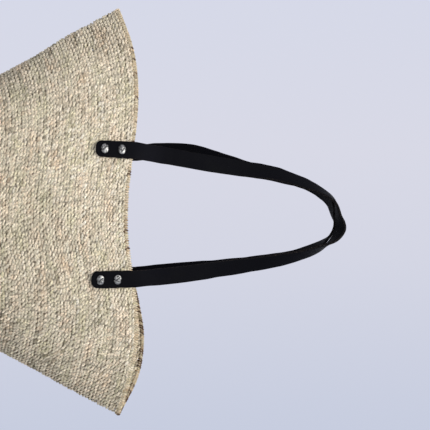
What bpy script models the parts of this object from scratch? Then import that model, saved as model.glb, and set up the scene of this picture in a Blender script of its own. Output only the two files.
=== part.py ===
"""Kiondo basket: a twined body that flares to a wide pointed mouth, with two riveted leather handles.

The basket stands on its round base at the origin, +Z up. Its mouth runs along X and its front faces -Y.
Lengths are in metres. The most skilled piece is the handle: one flat strap that rises from the wall,
turns past level on its way to the top, runs over beside its neighbour and turns back on its way down.
"""

import math
from dataclasses import dataclass

import bmesh
import bpy
from mathutils import Matrix, Vector

# Gap kept between two pieces that touch, and the ease of a flat patch on the hollow inner face
CLEARANCE = 0.0003
PATCH_EASE = 0.0002

# Woven body: a round base, and walls that flare along X and draw in along Y
BASE_RADIUS = 0.093
CORNER_RUN = 0.022
CORNER_RISE = 0.019
MOUTH_HALF_WIDTH = 0.2465
MOUTH_HALF_DEPTH = 0.052
BELLY_HALF_DEPTH = 0.088
WEAVE_THICKNESS = 0.004
RIM_HEIGHT = 0.2815
RIM_WAVE = 0.020
BINDING_HEIGHT = 0.0045

# How far the mouth's outline has gone from an ellipse to a lens with pointed corners
POINTED_SHARE = 0.88
# Rim above or below RIM_HEIGHT in shares of RIM_WAVE, evenly spaced from the left corner to the right
FRONT_RIM_SHARES = (-0.33, 0.40, 0.66, 0.58, 0.30, 0.05, 0.00, 0.27, 0.60, 0.66, 0.30, -0.30)
BACK_RIM_SHARES = (-0.33, 0.60, 0.96, 0.88, 0.58, 0.27, 0.22, 0.55, 1.04, 1.31, 0.93, -0.30)
# How far the upper part of either end stands out past the even flare, and the climbs between which that grows
LEFT_FULLNESS = 0.0042
RIGHT_FULLNESS = 0.0012
FULL_FROM_SHARE = 0.60
FULL_BY_SHARE = 0.80

# Leather straps
STRAP_WIDTH = 0.020
STRAP_THICKNESS = 0.0035
EDGE_ROUND = 0.0006
HANDLE_HALF_SPAN = 0.0755
HANDLE_ABOVE_RIM = 0.2668
HINGE_ABOVE_RIM = 0.0025
# Turn of the strap about its own length at the top, and its shares, evenly spaced from the left end to the right
TOP_TURN_DEGREES = 112.0
TURN_SHARES = (
    0.0, 0.005, 0.04, 0.134, 0.27, 0.39, 0.53, 0.66, 0.84,
    1.0, 0.87, 0.57, 0.43, 0.26, 0.111, 0.023, 0.0,
)
# Centreline seen from the front: across in shares of HANDLE_HALF_SPAN, up in shares of the rise
FRONT_LOOP_SHARES = (
    (-0.972, 0.0), (-0.885, 0.17), (-0.792, 0.34), (-0.712, 0.51), (-0.645, 0.66), (-0.515, 0.79),
    (-0.385, 0.888), (-0.20, 0.968), (0.04, 0.988), (0.25, 1.0), (0.44, 0.965), (0.585, 0.89),
    (0.71, 0.77), (0.805, 0.61), (0.885, 0.42), (0.975, 0.21), (1.028, 0.0),
)
BACK_LOOP_SHARES = (
    (-1.0, 0.0), (-1.035, 0.14), (-1.01, 0.28), (-0.885, 0.41), (-0.73, 0.56), (-0.61, 0.72),
    (-0.465, 0.855), (-0.21, 0.958), (0.04, 0.983), (0.25, 0.992), (0.412, 0.957), (0.59, 0.88),
    (0.735, 0.76), (0.825, 0.60), (0.90, 0.42), (0.955, 0.21), (1.025, 0.0),
)

# Fixed strap ends on the wall, whose tips lie below RIM_HEIGHT, and the patches that back them inside
LEFT_TIP_DROP = 0.0387
RIGHT_TIP_DROP = 0.0438
LEFT_TAB_SLANT_SHARE = 0.035
RIGHT_TAB_SLANT_SHARE = 0.0
TIP_ROUND = 0.006
PATCH_THICKNESS = 0.002
PATCH_MARGIN = 0.011

# Two-part rivets, two in each strap end
RIVET_FROM_TIP = 0.0100
RIVET_SPACING = 0.0202
CAP_RADIUS = 0.00565
CAP_EDGE = 0.0006
CAP_DOME = 0.0013
BARREL_RADIUS = 0.0016
BARREL_BORE = 0.0011
STUD_CAP_RADIUS = 0.0050
STUD_CAP_EDGE = 0.0005
STUD_DOME = 0.0011
PIN_RADIUS = 0.0008

# How finely the curved faces are divided
WALL_SEGMENTS = 72
WALL_RINGS = 11
CORNER_RINGS = 4
ROUND_STEPS = 4
LOOP_STATIONS = 52
TAB_STATIONS = 6
RIVET_SIDES = 14
SOLVE_STEPS = 8

# A step for measuring slopes, the overrun of a cutter, the distance at which points are one, and the
# angle above which an edge between two faces stays sharp
PROBE = 0.0005
CUT_OVERRUN = 0.002
MERGE_DISTANCE = 0.000001
SMOOTH_DEGREES = 35.0

# Signs of the two walls along Y and of the two ends of a handle along X
FRONT = -1
BACK = 1
LEFT = -1
RIGHT = 1
SIDE_NAMES = {FRONT: "front", BACK: "back"}
END_NAMES = {LEFT: "left", RIGHT: "right"}

WEAVE_COLOUR = (0.53, 0.46, 0.35)
BINDING_COLOUR = (0.42, 0.33, 0.21)
LEATHER_COLOUR = (0.012, 0.012, 0.016)
NICKEL_COLOUR = (0.62, 0.61, 0.58)


@dataclass
class Station:
    """Place on a strap's centreline, with its direction of travel and the way that its face looks."""

    place: Vector
    along: Vector
    facing: Vector
    half_width: float = STRAP_WIDTH / 2.0

    def squared(self):
        """The same station with its facing square to its direction of travel."""
        along = self.along.normalized()
        facing = (self.facing - along * self.facing.dot(along)).normalized()
        return Station(self.place, along, facing, self.half_width)


# Curve mathematics


def mix(start, end, share):
    """Value or vector part of the way from start to end."""
    return start + (end - start) * share


def smooth_curve(points, share):
    """Point on a smooth curve through all the points, where share runs from 0 to 1 along the list."""
    last = len(points) - 1
    place = min(max(share, 0.0), 1.0) * last
    index = min(int(place), last - 1)
    along = place - index
    start = points[index]
    end = points[index + 1]
    before = points[index - 1] if index > 0 else 2.0 * start - end
    after = points[index + 2] if index + 2 <= last else 2.0 * end - start
    return 0.5 * (
        2.0 * start
        + (end - before) * along
        + (2.0 * before - 5.0 * start + 4.0 * end - after) * along ** 2
        + (3.0 * start - 3.0 * end + after - before) * along ** 3
    )


# Form of the woven body


def rim_height(angle):
    """Height of the rim's top, where angle 0 is the right corner and the front has a negative sine."""
    across_share = (math.cos(angle) + 1.0) / 2.0
    shares = FRONT_RIM_SHARES if math.sin(angle) < 0.0 else BACK_RIM_SHARES
    return RIM_HEIGHT + RIM_WAVE * smooth_curve(shares, across_share)


def half_width(climb):
    """Half of the body's width along X, where climb goes from 0 at the floor to 1 at the rim."""
    return mix(BASE_RADIUS, MOUTH_HALF_WIDTH, climb)


def half_depth(climb):
    """Half of the body's depth along Y: full low down, and drawn in toward the mouth."""
    lower = mix(BASE_RADIUS, BELLY_HALF_DEPTH, climb)
    upper = mix(BELLY_HALF_DEPTH, MOUTH_HALF_DEPTH, climb)
    return mix(lower, upper, climb)


def pointedness(climb):
    """Share by which the outline has become a pointed lens at this climb."""
    return POINTED_SHARE * climb ** 2


def reach_along_x(climb, across, inset=0.0):
    """Half width of the weave at a depth across its thickness, which is longer where the mouth folds."""
    flare = math.hypot(1.0, (MOUTH_HALF_WIDTH - BASE_RADIUS) / RIM_HEIGHT)
    fold = math.hypot(1.0, half_width(climb) / (2.0 * half_depth(climb)))
    stretch = mix(flare, fold, pointedness(climb))
    return half_width(climb) - inset - across * WEAVE_THICKNESS * stretch


def fullness(climb, cosine):
    """How far an end stands out along X past the even flare, where the cosine is 1 at the right corner."""
    size = LEFT_FULLNESS if cosine < 0.0 else RIGHT_FULLNESS
    share = min(max((climb - FULL_FROM_SHARE) / (FULL_BY_SHARE - FULL_FROM_SHARE), 0.0), 1.0)
    return size * share ** 2 * (3.0 - 2.0 * share) * math.copysign(cosine ** 4, cosine)


def body_point(angle, climb, across, inset=0.0, lift=0.0):
    """Point in the weave, where across is 0 on the outer face and 1 on the inner face."""
    sine = math.sin(angle)
    cosine = math.cos(angle)
    reach = math.copysign(abs(sine) ** (1.0 + pointedness(climb)), sine)
    wide = reach_along_x(climb, across, inset)
    deep = half_depth(climb) - inset - across * WEAVE_THICKNESS
    x = wide * cosine + fullness(climb, cosine)
    return Vector((x, deep * reach, climb * rim_height(angle) + lift))


def corner_point(angle, turn, across):
    """Point in the round corner under the wall, where turn goes from 0 at the base to 1 at the wall."""
    level = CORNER_RUN * (1.0 - turn)
    upright = CORNER_RISE * turn
    slope = math.hypot(level, upright)
    climb = CORNER_RISE * turn ** 2 / RIM_HEIGHT
    lift = across * WEAVE_THICKNESS * level / slope
    return body_point(angle, climb, across * upright / slope, level * (1.0 - turn), lift)


def rim_point(angle, drop, across):
    """Point in the weave at a drop below the rim's top."""
    return body_point(angle, 1.0 - drop / rim_height(angle), across)


def wall_point(x, z, side, across):
    """Point on the front or back wall at a place seen from the front."""
    climb = z / RIM_HEIGHT
    angle = side * math.pi / 2.0
    for _ in range(SOLVE_STEPS):
        angle = side * math.acos(x / reach_along_x(climb, across))
        climb = z / rim_height(angle)
    return body_point(angle, climb, across)


def wall_station(x, z, side, across):
    """Station on a wall's face: it travels up the wall and faces out of the basket."""
    place = wall_point(x, z, side, across)
    beside = wall_point(x + PROBE, z, side, across) - place
    above = wall_point(x, z + PROBE, side, across) - place
    return Station(place, above, beside.cross(above) * -side).squared()


# Scene and mesh tools


def clear_scene():
    """Removes whatever the file holds, so that the model stands alone."""
    for old in list(bpy.data.objects):
        bpy.data.objects.remove(old, do_unlink=True)


def new_object(name, bm, origin, material, parent):
    """Turns a bmesh in world coordinates into an object with its origin at a point, under a parent."""
    bmesh.ops.recalc_face_normals(bm, faces=bm.faces)
    bmesh.ops.translate(bm, verts=bm.verts, vec=-origin)
    mesh = bpy.data.meshes.new(name)
    bm.to_mesh(mesh)
    bm.free()
    return place_mesh(name, mesh, Matrix.Translation(origin), material, parent)


def place_mesh(name, mesh, matrix, material, parent):
    """Object that shows a mesh at a world matrix, in its own material and under a parent."""
    if not mesh.materials:
        mesh.materials.append(material)
    mesh.shade_smooth()
    mesh.set_sharp_from_angle(angle=math.radians(SMOOTH_DEGREES))
    piece = bpy.data.objects.new(name, mesh)
    bpy.context.scene.collection.objects.link(piece)
    piece.parent = parent
    piece.matrix_parent_inverse = parent.matrix_world.inverted()
    piece.matrix_world = matrix
    return piece


def first_ring(bm, points):
    """Closed ring of points and edges that a skin starts from."""
    ring = [bm.verts.new(point) for point in points]
    edges = [bm.edges.new((vert, ring[index - 1])) for index, vert in enumerate(ring)]
    return ring, edges


def grown_ring(bm, ring, edges, points):
    """Extrudes a ring by one row of faces and moves its new end onto the points."""
    grown = bmesh.ops.extrude_edge_only(bm, edges=edges)["geom"]
    by_place = {tuple(item.co): item for item in grown if isinstance(item, bmesh.types.BMVert)}
    following = [by_place[tuple(vert.co)] for vert in ring]
    for vert, point in zip(following, points):
        vert.co = point
    kept = set(following)
    edges = [item for item in grown if isinstance(item, bmesh.types.BMEdge) and kept.issuperset(item.verts)]
    return following, edges


def loft(rings, closed):
    """Skin through rings of points: a tube closed into itself, or one with a cap on each end."""
    bm = bmesh.new()
    ring, edges = first_ring(bm, rings[0])
    ends = [edges]
    for points in rings[1:] + ([rings[0]] if closed else []):
        ring, edges = grown_ring(bm, ring, edges, points)
    ends.append(edges)
    if closed:
        bmesh.ops.remove_doubles(bm, verts=bm.verts, dist=MERGE_DISTANCE)
    else:
        for end in ends:
            bmesh.ops.contextual_create(bm, geom=end)
    return bm


def revolve(profile):
    """Solid turned about Z from a profile of (radius, height) points that starts and ends on the axis."""
    bm = bmesh.new()
    verts = [bm.verts.new((radius, 0.0, height)) for radius, height in profile]
    edges = [bm.edges.new(pair) for pair in zip(verts, verts[1:])]
    bmesh.ops.spin(
        bm, geom=verts + edges, cent=(0.0, 0.0, 0.0), axis=(0.0, 0.0, 1.0),
        angle=2.0 * math.pi, steps=RIVET_SIDES, use_merge=True,
    )
    bmesh.ops.remove_doubles(bm, verts=bm.verts, dist=MERGE_DISTANCE)
    bmesh.ops.recalc_face_normals(bm, faces=bm.faces)
    return bm


def new_material(name, colour, roughness, metallic):
    """Plain material with one colour."""
    material = bpy.data.materials.new(name)
    material.use_nodes = True
    shader = material.node_tree.nodes["Principled BSDF"]
    shader.inputs["Base Color"].default_value = (*colour, 1.0)
    shader.inputs["Roughness"].default_value = roughness
    shader.inputs["Metallic"].default_value = metallic
    return material


def new_empty(name, place, parent=None):
    """Empty that carries the pieces of one moving group."""
    empty = bpy.data.objects.new(name, None)
    bpy.context.scene.collection.objects.link(empty)
    empty.parent = parent
    empty.location = place
    bpy.context.view_layer.update()
    return empty


# Woven pieces


def ring_angles():
    """Angles of the divisions round the body."""
    return [2.0 * math.pi * index / WALL_SEGMENTS for index in range(WALL_SEGMENTS)]


def wall_ring(share, across):
    """Ring round the wall, where share goes from 0 over the round corner to 1 under the binding."""
    start = CORNER_RISE / RIM_HEIGHT
    points = []
    for angle in ring_angles():
        end = 1.0 - (BINDING_HEIGHT + CLEARANCE) / rim_height(angle)
        points.append(body_point(angle, mix(start, end, share), across))
    return points


def wall_face_rings(across):
    """Rings of one face of the wall, from the edge of the flat base up to the binding."""
    corner = [
        [corner_point(angle, step / CORNER_RINGS, across) for angle in ring_angles()]
        for step in range(CORNER_RINGS)
    ]
    return corner + [wall_ring(step / WALL_RINGS, across) for step in range(WALL_RINGS + 1)]


def make_wall(material, parent):
    """Twined wall with the round corner at its foot, open at its top and over the base."""
    rings = wall_face_rings(0.0) + wall_face_rings(1.0)[::-1]
    return new_object("woven_wall", loft(rings, closed=True), Vector((0.0, 0.0, 0.0)), material, parent)


def make_base(material, parent):
    """Flat twined disc that the basket stands on."""
    bm = bmesh.new()
    radius = BASE_RADIUS - CORNER_RUN - CLEARANCE
    bmesh.ops.create_circle(bm, cap_ends=True, segments=WALL_SEGMENTS, radius=radius)
    raised = bmesh.ops.extrude_face_region(bm, geom=bm.faces[:], use_keep_orig=True)
    top = [item for item in raised["geom"] if isinstance(item, bmesh.types.BMVert)]
    bmesh.ops.translate(bm, verts=top, vec=(0.0, 0.0, WEAVE_THICKNESS))
    return new_object("woven_base", bm, Vector((0.0, 0.0, 0.0)), material, parent)


def binding_section_shares():
    """Binding's section as (across, drop) points: flat faces below, and a half round top."""
    crown = WEAVE_THICKNESS / 2.0
    section = [(0.0, BINDING_HEIGHT)]
    for step in range(2 * ROUND_STEPS + 1):
        turn = math.pi * step / (2 * ROUND_STEPS)
        section.append(((1.0 - math.cos(turn)) / 2.0, crown * (1.0 - math.sin(turn))))
    return section + [(1.0, BINDING_HEIGHT)]


def make_binding(material, parent):
    """Band that closes the weave along the rim, as thick as the wall."""
    rings = [
        [rim_point(angle, drop, across) for angle in ring_angles()]
        for across, drop in binding_section_shares()
    ]
    return new_object("rim_binding", loft(rings, closed=True), Vector((0.0, 0.0, 0.0)), material, parent)


# Straps


def strap_section(station, thickness):
    """Rounded rectangle of points across a strap, square to its direction of travel."""
    wide = station.half_width
    high = thickness / 2.0
    sideways = station.along.cross(station.facing)
    corners = (
        (wide, high - EDGE_ROUND), (wide - EDGE_ROUND, high),
        (EDGE_ROUND - wide, high), (-wide, high - EDGE_ROUND),
        (-wide, EDGE_ROUND - high), (EDGE_ROUND - wide, -high),
        (wide - EDGE_ROUND, -high), (wide, EDGE_ROUND - high),
    )
    return [station.place + sideways * u + station.facing * v for u, v in corners]


def loop_shares(side):
    """Centreline shares of the front or back handle."""
    return FRONT_LOOP_SHARES if side == FRONT else BACK_LOOP_SHARES


def hinge_x(side, end):
    """Place along X where a handle leaves the rim."""
    ends = {LEFT: loop_shares(side)[0], RIGHT: loop_shares(side)[-1]}
    return HANDLE_HALF_SPAN * ends[end][0]


def hinge_height(side):
    """Height at which a handle bends: just above the rim at the higher of its two ends."""
    heights = []
    for end in (LEFT, RIGHT):
        angle = side * math.acos(hinge_x(side, end) / MOUTH_HALF_WIDTH)
        heights.append(rim_height(angle))
    return max(heights) + HINGE_ABOVE_RIM


def tab_length(side, end):
    """Height of a strap end from its tip to the hinge."""
    drop = LEFT_TIP_DROP if end == LEFT else RIGHT_TIP_DROP
    return hinge_height(side) - RIM_HEIGHT + drop


def tab_station(side, end, above_tip, across):
    """Station on the wall under a strap end, at a height above its tip."""
    slant = LEFT_TAB_SLANT_SHARE if end == LEFT else RIGHT_TAB_SLANT_SHARE
    below = tab_length(side, end) - above_tip
    x = hinge_x(side, end) - slant * below
    station = wall_station(x, hinge_height(side) - below, side, across)
    station.along += Vector((slant, 0.0, 0.0))
    return station.squared()


def tip_half_width(from_tip):
    """Half width of a strap near its tip, whose two corners are rounded."""
    left = max(TIP_ROUND - from_tip, 0.0)
    return STRAP_WIDTH / 2.0 - TIP_ROUND + math.sqrt(TIP_ROUND ** 2 - left ** 2)


def tip_steps():
    """Distances from a tip at which its round corners are divided."""
    return [
        TIP_ROUND * (1.0 - math.cos(math.pi / 2.0 * step / ROUND_STEPS))
        for step in range(ROUND_STEPS + 1)
    ]


def tab_top_station(side, end):
    """Station in the middle of the leather at the top of a strap end."""
    station = tab_station(side, end, tab_length(side, end), 0.0)
    station.place += station.facing * (CLEARANCE + STRAP_THICKNESS / 2.0)
    return station


def make_tab(side, end, cutter, material, parent):
    """Strap end that lies on the outside of the wall, from its round tip to the hinge."""
    length = tab_length(side, end)
    heights = tip_steps()
    heights += [mix(TIP_ROUND, length, step / TAB_STATIONS) for step in range(1, TAB_STATIONS + 1)]
    rings = []
    for height in heights:
        station = tab_station(side, end, height, 0.0)
        station.place += station.facing * (CLEARANCE + STRAP_THICKNESS / 2.0)
        station.half_width = tip_half_width(height)
        rings.append(strap_section(station, STRAP_THICKNESS))
    name = f"{SIDE_NAMES[side]}_{END_NAMES[end]}_tab"
    origin = tab_top_station(side, end).place
    return drilled(new_object(name, loft(rings, closed=False), origin, material, parent), cutter)


def make_patch(side, end, cutter, material, parent):
    """Leather patch inside the wall, behind both rivets of a strap end."""
    low = RIVET_FROM_TIP - PATCH_MARGIN
    length = RIVET_SPACING + 2.0 * PATCH_MARGIN
    steps = tip_steps()
    distances = steps + [length - step for step in reversed(steps)]
    rings = []
    for distance in distances:
        station = tab_station(side, end, low + distance, 1.0)
        station.place -= station.facing * (CLEARANCE + PATCH_EASE + PATCH_THICKNESS / 2.0)
        station.half_width = tip_half_width(min(distance, length - distance))
        rings.append(strap_section(station, PATCH_THICKNESS))
    name = f"{SIDE_NAMES[side]}_{END_NAMES[end]}_patch"
    origin = tab_station(side, end, low, 1.0).place
    return drilled(new_object(name, loft(rings, closed=False), origin, material, parent), cutter)


def drilled(piece, cutter):
    """Cuts the rivet holes through a piece."""
    holes = piece.modifiers.new("rivet_holes", "BOOLEAN")
    holes.operation = "DIFFERENCE"
    holes.solver = "EXACT"
    holes.object = cutter
    return piece


def loop_place(side, share):
    """Point on a handle's centreline, at a share of the way from the left end (0) to the right (1)."""
    left = tab_top_station(side, LEFT)
    right = tab_top_station(side, RIGHT)
    rise = RIM_HEIGHT + HANDLE_ABOVE_RIM - mix(left.place.z, right.place.z, 0.5)
    across, climb = smooth_curve([Vector(pair) for pair in loop_shares(side)], share)
    start = mix(left.place, right.place, share)
    lean = mix(left.along.y / left.along.z, right.along.y / right.along.z, share) * rise
    over = math.radians(TOP_TURN_DEGREES) - math.pi / 2.0
    across_top = STRAP_WIDTH * math.cos(over) + STRAP_THICKNESS * math.sin(over)
    top = side * (across_top / 2.0 + CLEARANCE) - start.y
    depth = start.y + lean * climb + (top - lean) * climb ** 2
    return Vector((across * HANDLE_HALF_SPAN, depth, start.z + climb * rise))


def turned_station(side, share, wall_turn):
    """Station on a handle, with its face turned from the wall's way to the top's way."""
    step = 1.0 / LOOP_STATIONS ** 2
    place = loop_place(side, share)
    along = (loop_place(side, share + step) - loop_place(side, share - step)).normalized()
    level = Station(place, along, Vector((0.0, side, 0.0))).squared()
    inward = level.along.cross(level.facing) * -side
    turn = mix(wall_turn, math.radians(TOP_TURN_DEGREES), smooth_curve(TURN_SHARES, share))
    level.facing = level.facing * math.cos(turn) - inward * math.sin(turn)
    return level


def loop_stations(side):
    """Stations of a whole handle, which starts and ends square on the strap ends below it."""
    left = tab_top_station(side, LEFT)
    right = tab_top_station(side, RIGHT)
    right.along = -right.along
    left.place = left.place + left.along * CLEARANCE
    right.place = right.place - right.along * CLEARANCE
    wall_turn = math.asin(abs(left.facing.x))
    between = [
        turned_station(side, step / LOOP_STATIONS, wall_turn) for step in range(1, LOOP_STATIONS)
    ]
    return [left] + between + [right]


def hinge_point(side):
    """Point on a handle's hinge line: where the outermost edges of its two ends meet the strap ends."""
    edges = []
    for end in (LEFT, RIGHT):
        edges += strap_section(tab_top_station(side, end), STRAP_THICKNESS)
    outermost = max(edges, key=lambda point: point.y * side)
    return Vector((0.0, outermost.y, max(point.z for point in edges)))


def make_handle(side, material, parent):
    """Handle that stands over the mouth, hung on the hinge line where it leaves its strap ends."""
    axis = new_empty(f"{SIDE_NAMES[side]}_handle_hinge", hinge_point(side), parent)
    rings = [strap_section(station, STRAP_THICKNESS) for station in loop_stations(side)]
    name = f"{SIDE_NAMES[side]}_handle_strap"
    return new_object(name, loft(rings, closed=False), hinge_point(side), material, axis)


# Rivets


def rivet_matrix(side, end, number):
    """Frame of a rivet: its origin on the leather's outer face, with Z out of the basket."""
    station = tab_station(side, end, RIVET_FROM_TIP + number * RIVET_SPACING, 0.0)
    outward = station.facing
    place = station.place + outward * (CLEARANCE + STRAP_THICKNESS)
    sideways = station.along.cross(outward)
    turn = Matrix((sideways, outward.cross(sideways), outward)).transposed()
    return Matrix.Translation(place) @ turn.to_4x4()


def stack_depth():
    """Depth from the leather's outer face to the patch's inner face."""
    return STRAP_THICKNESS + WEAVE_THICKNESS + PATCH_THICKNESS + 2.0 * CLEARANCE + PATCH_EASE


def dome(radius, low, rise):
    """Half of a shallow dome's profile, from its edge to its crown."""
    points = []
    for step in range(ROUND_STEPS + 1):
        turn = math.pi / 2.0 * step / ROUND_STEPS
        points.append((radius * math.cos(turn), low + rise * math.sin(turn)))
    points[-1] = (0.0, low + rise)
    return points


def cap_mesh():
    """Rivet cap with its domed head outside and the hollow barrel that goes through the wall."""
    under = CLEARANCE
    crown = dome(CAP_RADIUS, under + CAP_EDGE, CAP_DOME)
    foot = -stack_depth()
    profile = crown[::-1] + [
        (CAP_RADIUS, under), (BARREL_RADIUS, under), (BARREL_RADIUS, foot),
        (BARREL_BORE, foot), (BARREL_BORE, -STRAP_THICKNESS), (0.0, -STRAP_THICKNESS),
    ]
    mesh = bpy.data.meshes.new("rivet_cap")
    bm = revolve(profile)
    bm.to_mesh(mesh)
    bm.free()
    return mesh


def stud_mesh():
    """Rivet stud with its low cap inside and the pin that grips in the barrel."""
    seat = -stack_depth() - CLEARANCE
    pin_end = -STRAP_THICKNESS - CLEARANCE
    crown = [(radius, -height) for radius, height in dome(STUD_CAP_RADIUS, STUD_CAP_EDGE - seat, STUD_DOME)]
    profile = [(0.0, pin_end), (PIN_RADIUS, pin_end), (PIN_RADIUS, seat), (STUD_CAP_RADIUS, seat)] + crown
    mesh = bpy.data.meshes.new("rivet_stud")
    bm = revolve(profile)
    bm.to_mesh(mesh)
    bm.free()
    return mesh


def make_hole_cutter(matrices):
    """Cutter with one cylinder for every rivet, a clearance wider than the barrel."""
    bm = bmesh.new()
    length = stack_depth() + 2.0 * CUT_OVERRUN
    centre = Matrix.Translation((0.0, 0.0, -stack_depth() / 2.0))
    for matrix in matrices:
        bmesh.ops.create_cone(
            bm, cap_ends=True, segments=RIVET_SIDES, radius1=BARREL_RADIUS + CLEARANCE,
            radius2=BARREL_RADIUS + CLEARANCE, depth=length, matrix=matrix @ centre,
        )
    mesh = bpy.data.meshes.new("rivet_hole_cutter")
    bm.to_mesh(mesh)
    bm.free()
    cutter = bpy.data.objects.new("rivet_hole_cutter", mesh)
    bpy.context.scene.collection.objects.link(cutter)
    cutter.hide_render = True
    cutter.display_type = "WIRE"
    return cutter


def rivet_places():
    """Name and matrix of every rivet."""
    places = {}
    for side in (FRONT, BACK):
        for end in (LEFT, RIGHT):
            for number, level in enumerate(("lower", "upper")):
                name = f"{SIDE_NAMES[side]}_{END_NAMES[end]}_{level}"
                places[name] = rivet_matrix(side, end, number)
    return places


def make_rivets(places, parent):
    """A cap and a stud at every rivet place."""
    nickel = new_material("nickel_rivet", NICKEL_COLOUR, 0.35, 1.0)
    cap = cap_mesh()
    stud = stud_mesh()
    for name, matrix in places.items():
        place_mesh(f"{name}_rivet_cap", cap, matrix, nickel, parent)
        place_mesh(f"{name}_rivet_stud", stud, matrix, nickel, parent)


def build():
    """Makes every piece of the basket."""
    clear_scene()
    basket = new_empty("basket", Vector((0.0, 0.0, 0.0)))
    weave = new_material("twined_fibre", WEAVE_COLOUR, 0.85, 0.0)
    bound = new_material("rim_fibre", BINDING_COLOUR, 0.85, 0.0)
    leather = new_material("black_leather", LEATHER_COLOUR, 0.45, 0.0)
    places = rivet_places()
    cutter = make_hole_cutter(places.values())
    make_base(weave, basket)
    drilled(make_wall(weave, basket), cutter)
    make_binding(bound, basket)
    for side in (FRONT, BACK):
        make_handle(side, leather, basket)
        for end in (LEFT, RIGHT):
            make_tab(side, end, cutter, leather, basket)
            make_patch(side, end, cutter, leather, basket)
    make_rivets(places, basket)


build()
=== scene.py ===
"""Looks of the kiondo basket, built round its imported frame.

The wall and base are twined from real strands: every course is two strands that turn about each other
and lock one upright rib between them at every half turn. A wound hem closes the rim. Each handle is one
leather strap that runs from its riveted tip up the wall, over the top and down to its other tip.
Lengths are in metres, +Z is up, the mouth runs along X and the front faces -Y.
"""

import logging
import math
from dataclasses import dataclass, field, replace
from enum import Enum

import bmesh
import bpy
import numpy as np
from mathutils import Matrix, Vector

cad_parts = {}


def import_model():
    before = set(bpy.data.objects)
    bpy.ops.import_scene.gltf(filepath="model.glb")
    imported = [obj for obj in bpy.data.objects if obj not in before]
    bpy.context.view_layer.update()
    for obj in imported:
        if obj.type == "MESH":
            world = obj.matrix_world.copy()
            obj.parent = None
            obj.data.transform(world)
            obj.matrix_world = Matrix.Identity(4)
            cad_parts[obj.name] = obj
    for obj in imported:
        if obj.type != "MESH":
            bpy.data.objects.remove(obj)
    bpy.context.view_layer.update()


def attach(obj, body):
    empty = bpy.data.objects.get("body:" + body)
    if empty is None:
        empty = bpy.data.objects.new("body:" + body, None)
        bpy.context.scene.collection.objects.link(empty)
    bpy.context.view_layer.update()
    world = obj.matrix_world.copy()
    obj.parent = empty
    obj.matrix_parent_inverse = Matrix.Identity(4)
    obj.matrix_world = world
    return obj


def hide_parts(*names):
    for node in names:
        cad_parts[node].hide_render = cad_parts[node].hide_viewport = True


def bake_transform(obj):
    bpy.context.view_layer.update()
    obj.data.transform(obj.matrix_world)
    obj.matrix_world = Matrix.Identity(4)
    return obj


LOG = logging.getLogger("kiondo")
TURN = 2.0 * math.pi
MM_IN_METRE = 1000.0
Array = np.ndarray
BMesh = bmesh.types.BMesh
Material = bpy.types.Material
Mesh = bpy.types.Mesh
Node = bpy.types.Node
NodeSocket = bpy.types.NodeSocket
NodeTree = bpy.types.NodeTree
Object = bpy.types.Object
Values = Array | float


class Side(Enum):
    """The two long walls, with their signs along Y."""

    FRONT = -1
    BACK = 1


class End(Enum):
    """The two ends of a handle, with their signs along X."""

    LEFT = -1
    RIGHT = 1


class Zone(Enum):
    """Parts of the weave that a course can lie in."""

    BASE = "base"
    CORNER = "corner"
    WALL = "wall"


# Curve and colour mathematics


def mix(start: Values, end: Values, share: Values) -> Values:
    """Value or values part of the way from start to end."""
    return start + (end - start) * share


def unit(vectors: Array) -> Array:
    """Rows of an array made one long."""
    return vectors / np.linalg.norm(vectors, axis=-1, keepdims=True)


def run_along(points: Array) -> Array:
    """Length of a line that lies behind each of its points."""
    steps = np.linalg.norm(np.diff(points, axis=0), axis=1)
    return np.concatenate([[0.0], np.cumsum(steps)])


def waves(fractions: Array, level: float, table: tuple) -> Array:
    """Sum of waves that run round the basket and shift as they climb it.

    Args:
        fractions: Shares of the way round.
        level: How far up the basket they are.
        table: The cycles, the shift with the level and the start of each wave.

    Returns:
        One value for each share.
    """
    total = np.zeros(len(fractions))
    for cycles, shift, start in table:
        total += np.sin(TURN * cycles * fractions + level * shift + start)
    return total


def smooth_curve(points: Array, share: Array) -> Array:
    """Points on a smooth curve through a list of points or values.

    Args:
        points: The values or points that the curve goes through, evenly spaced.
        share: Places along it, from 0 at its start to 1 at its end.

    Returns:
        One value or point for each share.
    """
    last = len(points) - 1
    first_before = 2.0 * points[:1] - points[1:2]
    last_after = 2.0 * points[-1:] - points[-2:-1]
    padded = np.concatenate([first_before, points, last_after])
    place = np.clip(share, 0.0, 1.0) * last
    index = np.minimum(place.astype(int), last - 1)
    along = place - index
    if points.ndim == 2:
        along = along[:, None]
    before, start, end, after = (padded[index + step] for step in range(4))
    return 0.5 * (
        2.0 * start
        + (end - before) * along
        + (2.0 * before - 5.0 * start + 4.0 * end - after) * along**2
        + (3.0 * start - 3.0 * end + after - before) * along**3
    )


def linear(red: float, green: float, blue: float) -> tuple[float, float, float, float]:
    """A colour as a screen shows it, in the linear values that a shader reads.

    Args:
        red: Red from 0 to 255.
        green: Green from 0 to 255.
        blue: Blue from 0 to 255.

    Returns:
        Linear red, green and blue, and an opacity of 1.
    """
    shown = np.array([red, green, blue]) / 255.0
    low = shown / 12.92
    high = ((shown + 0.055) / 1.055) ** 2.4
    return (*np.where(shown <= 0.04045, low, high).tolist(), 1.0)


# Form shared by all the pieces


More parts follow.
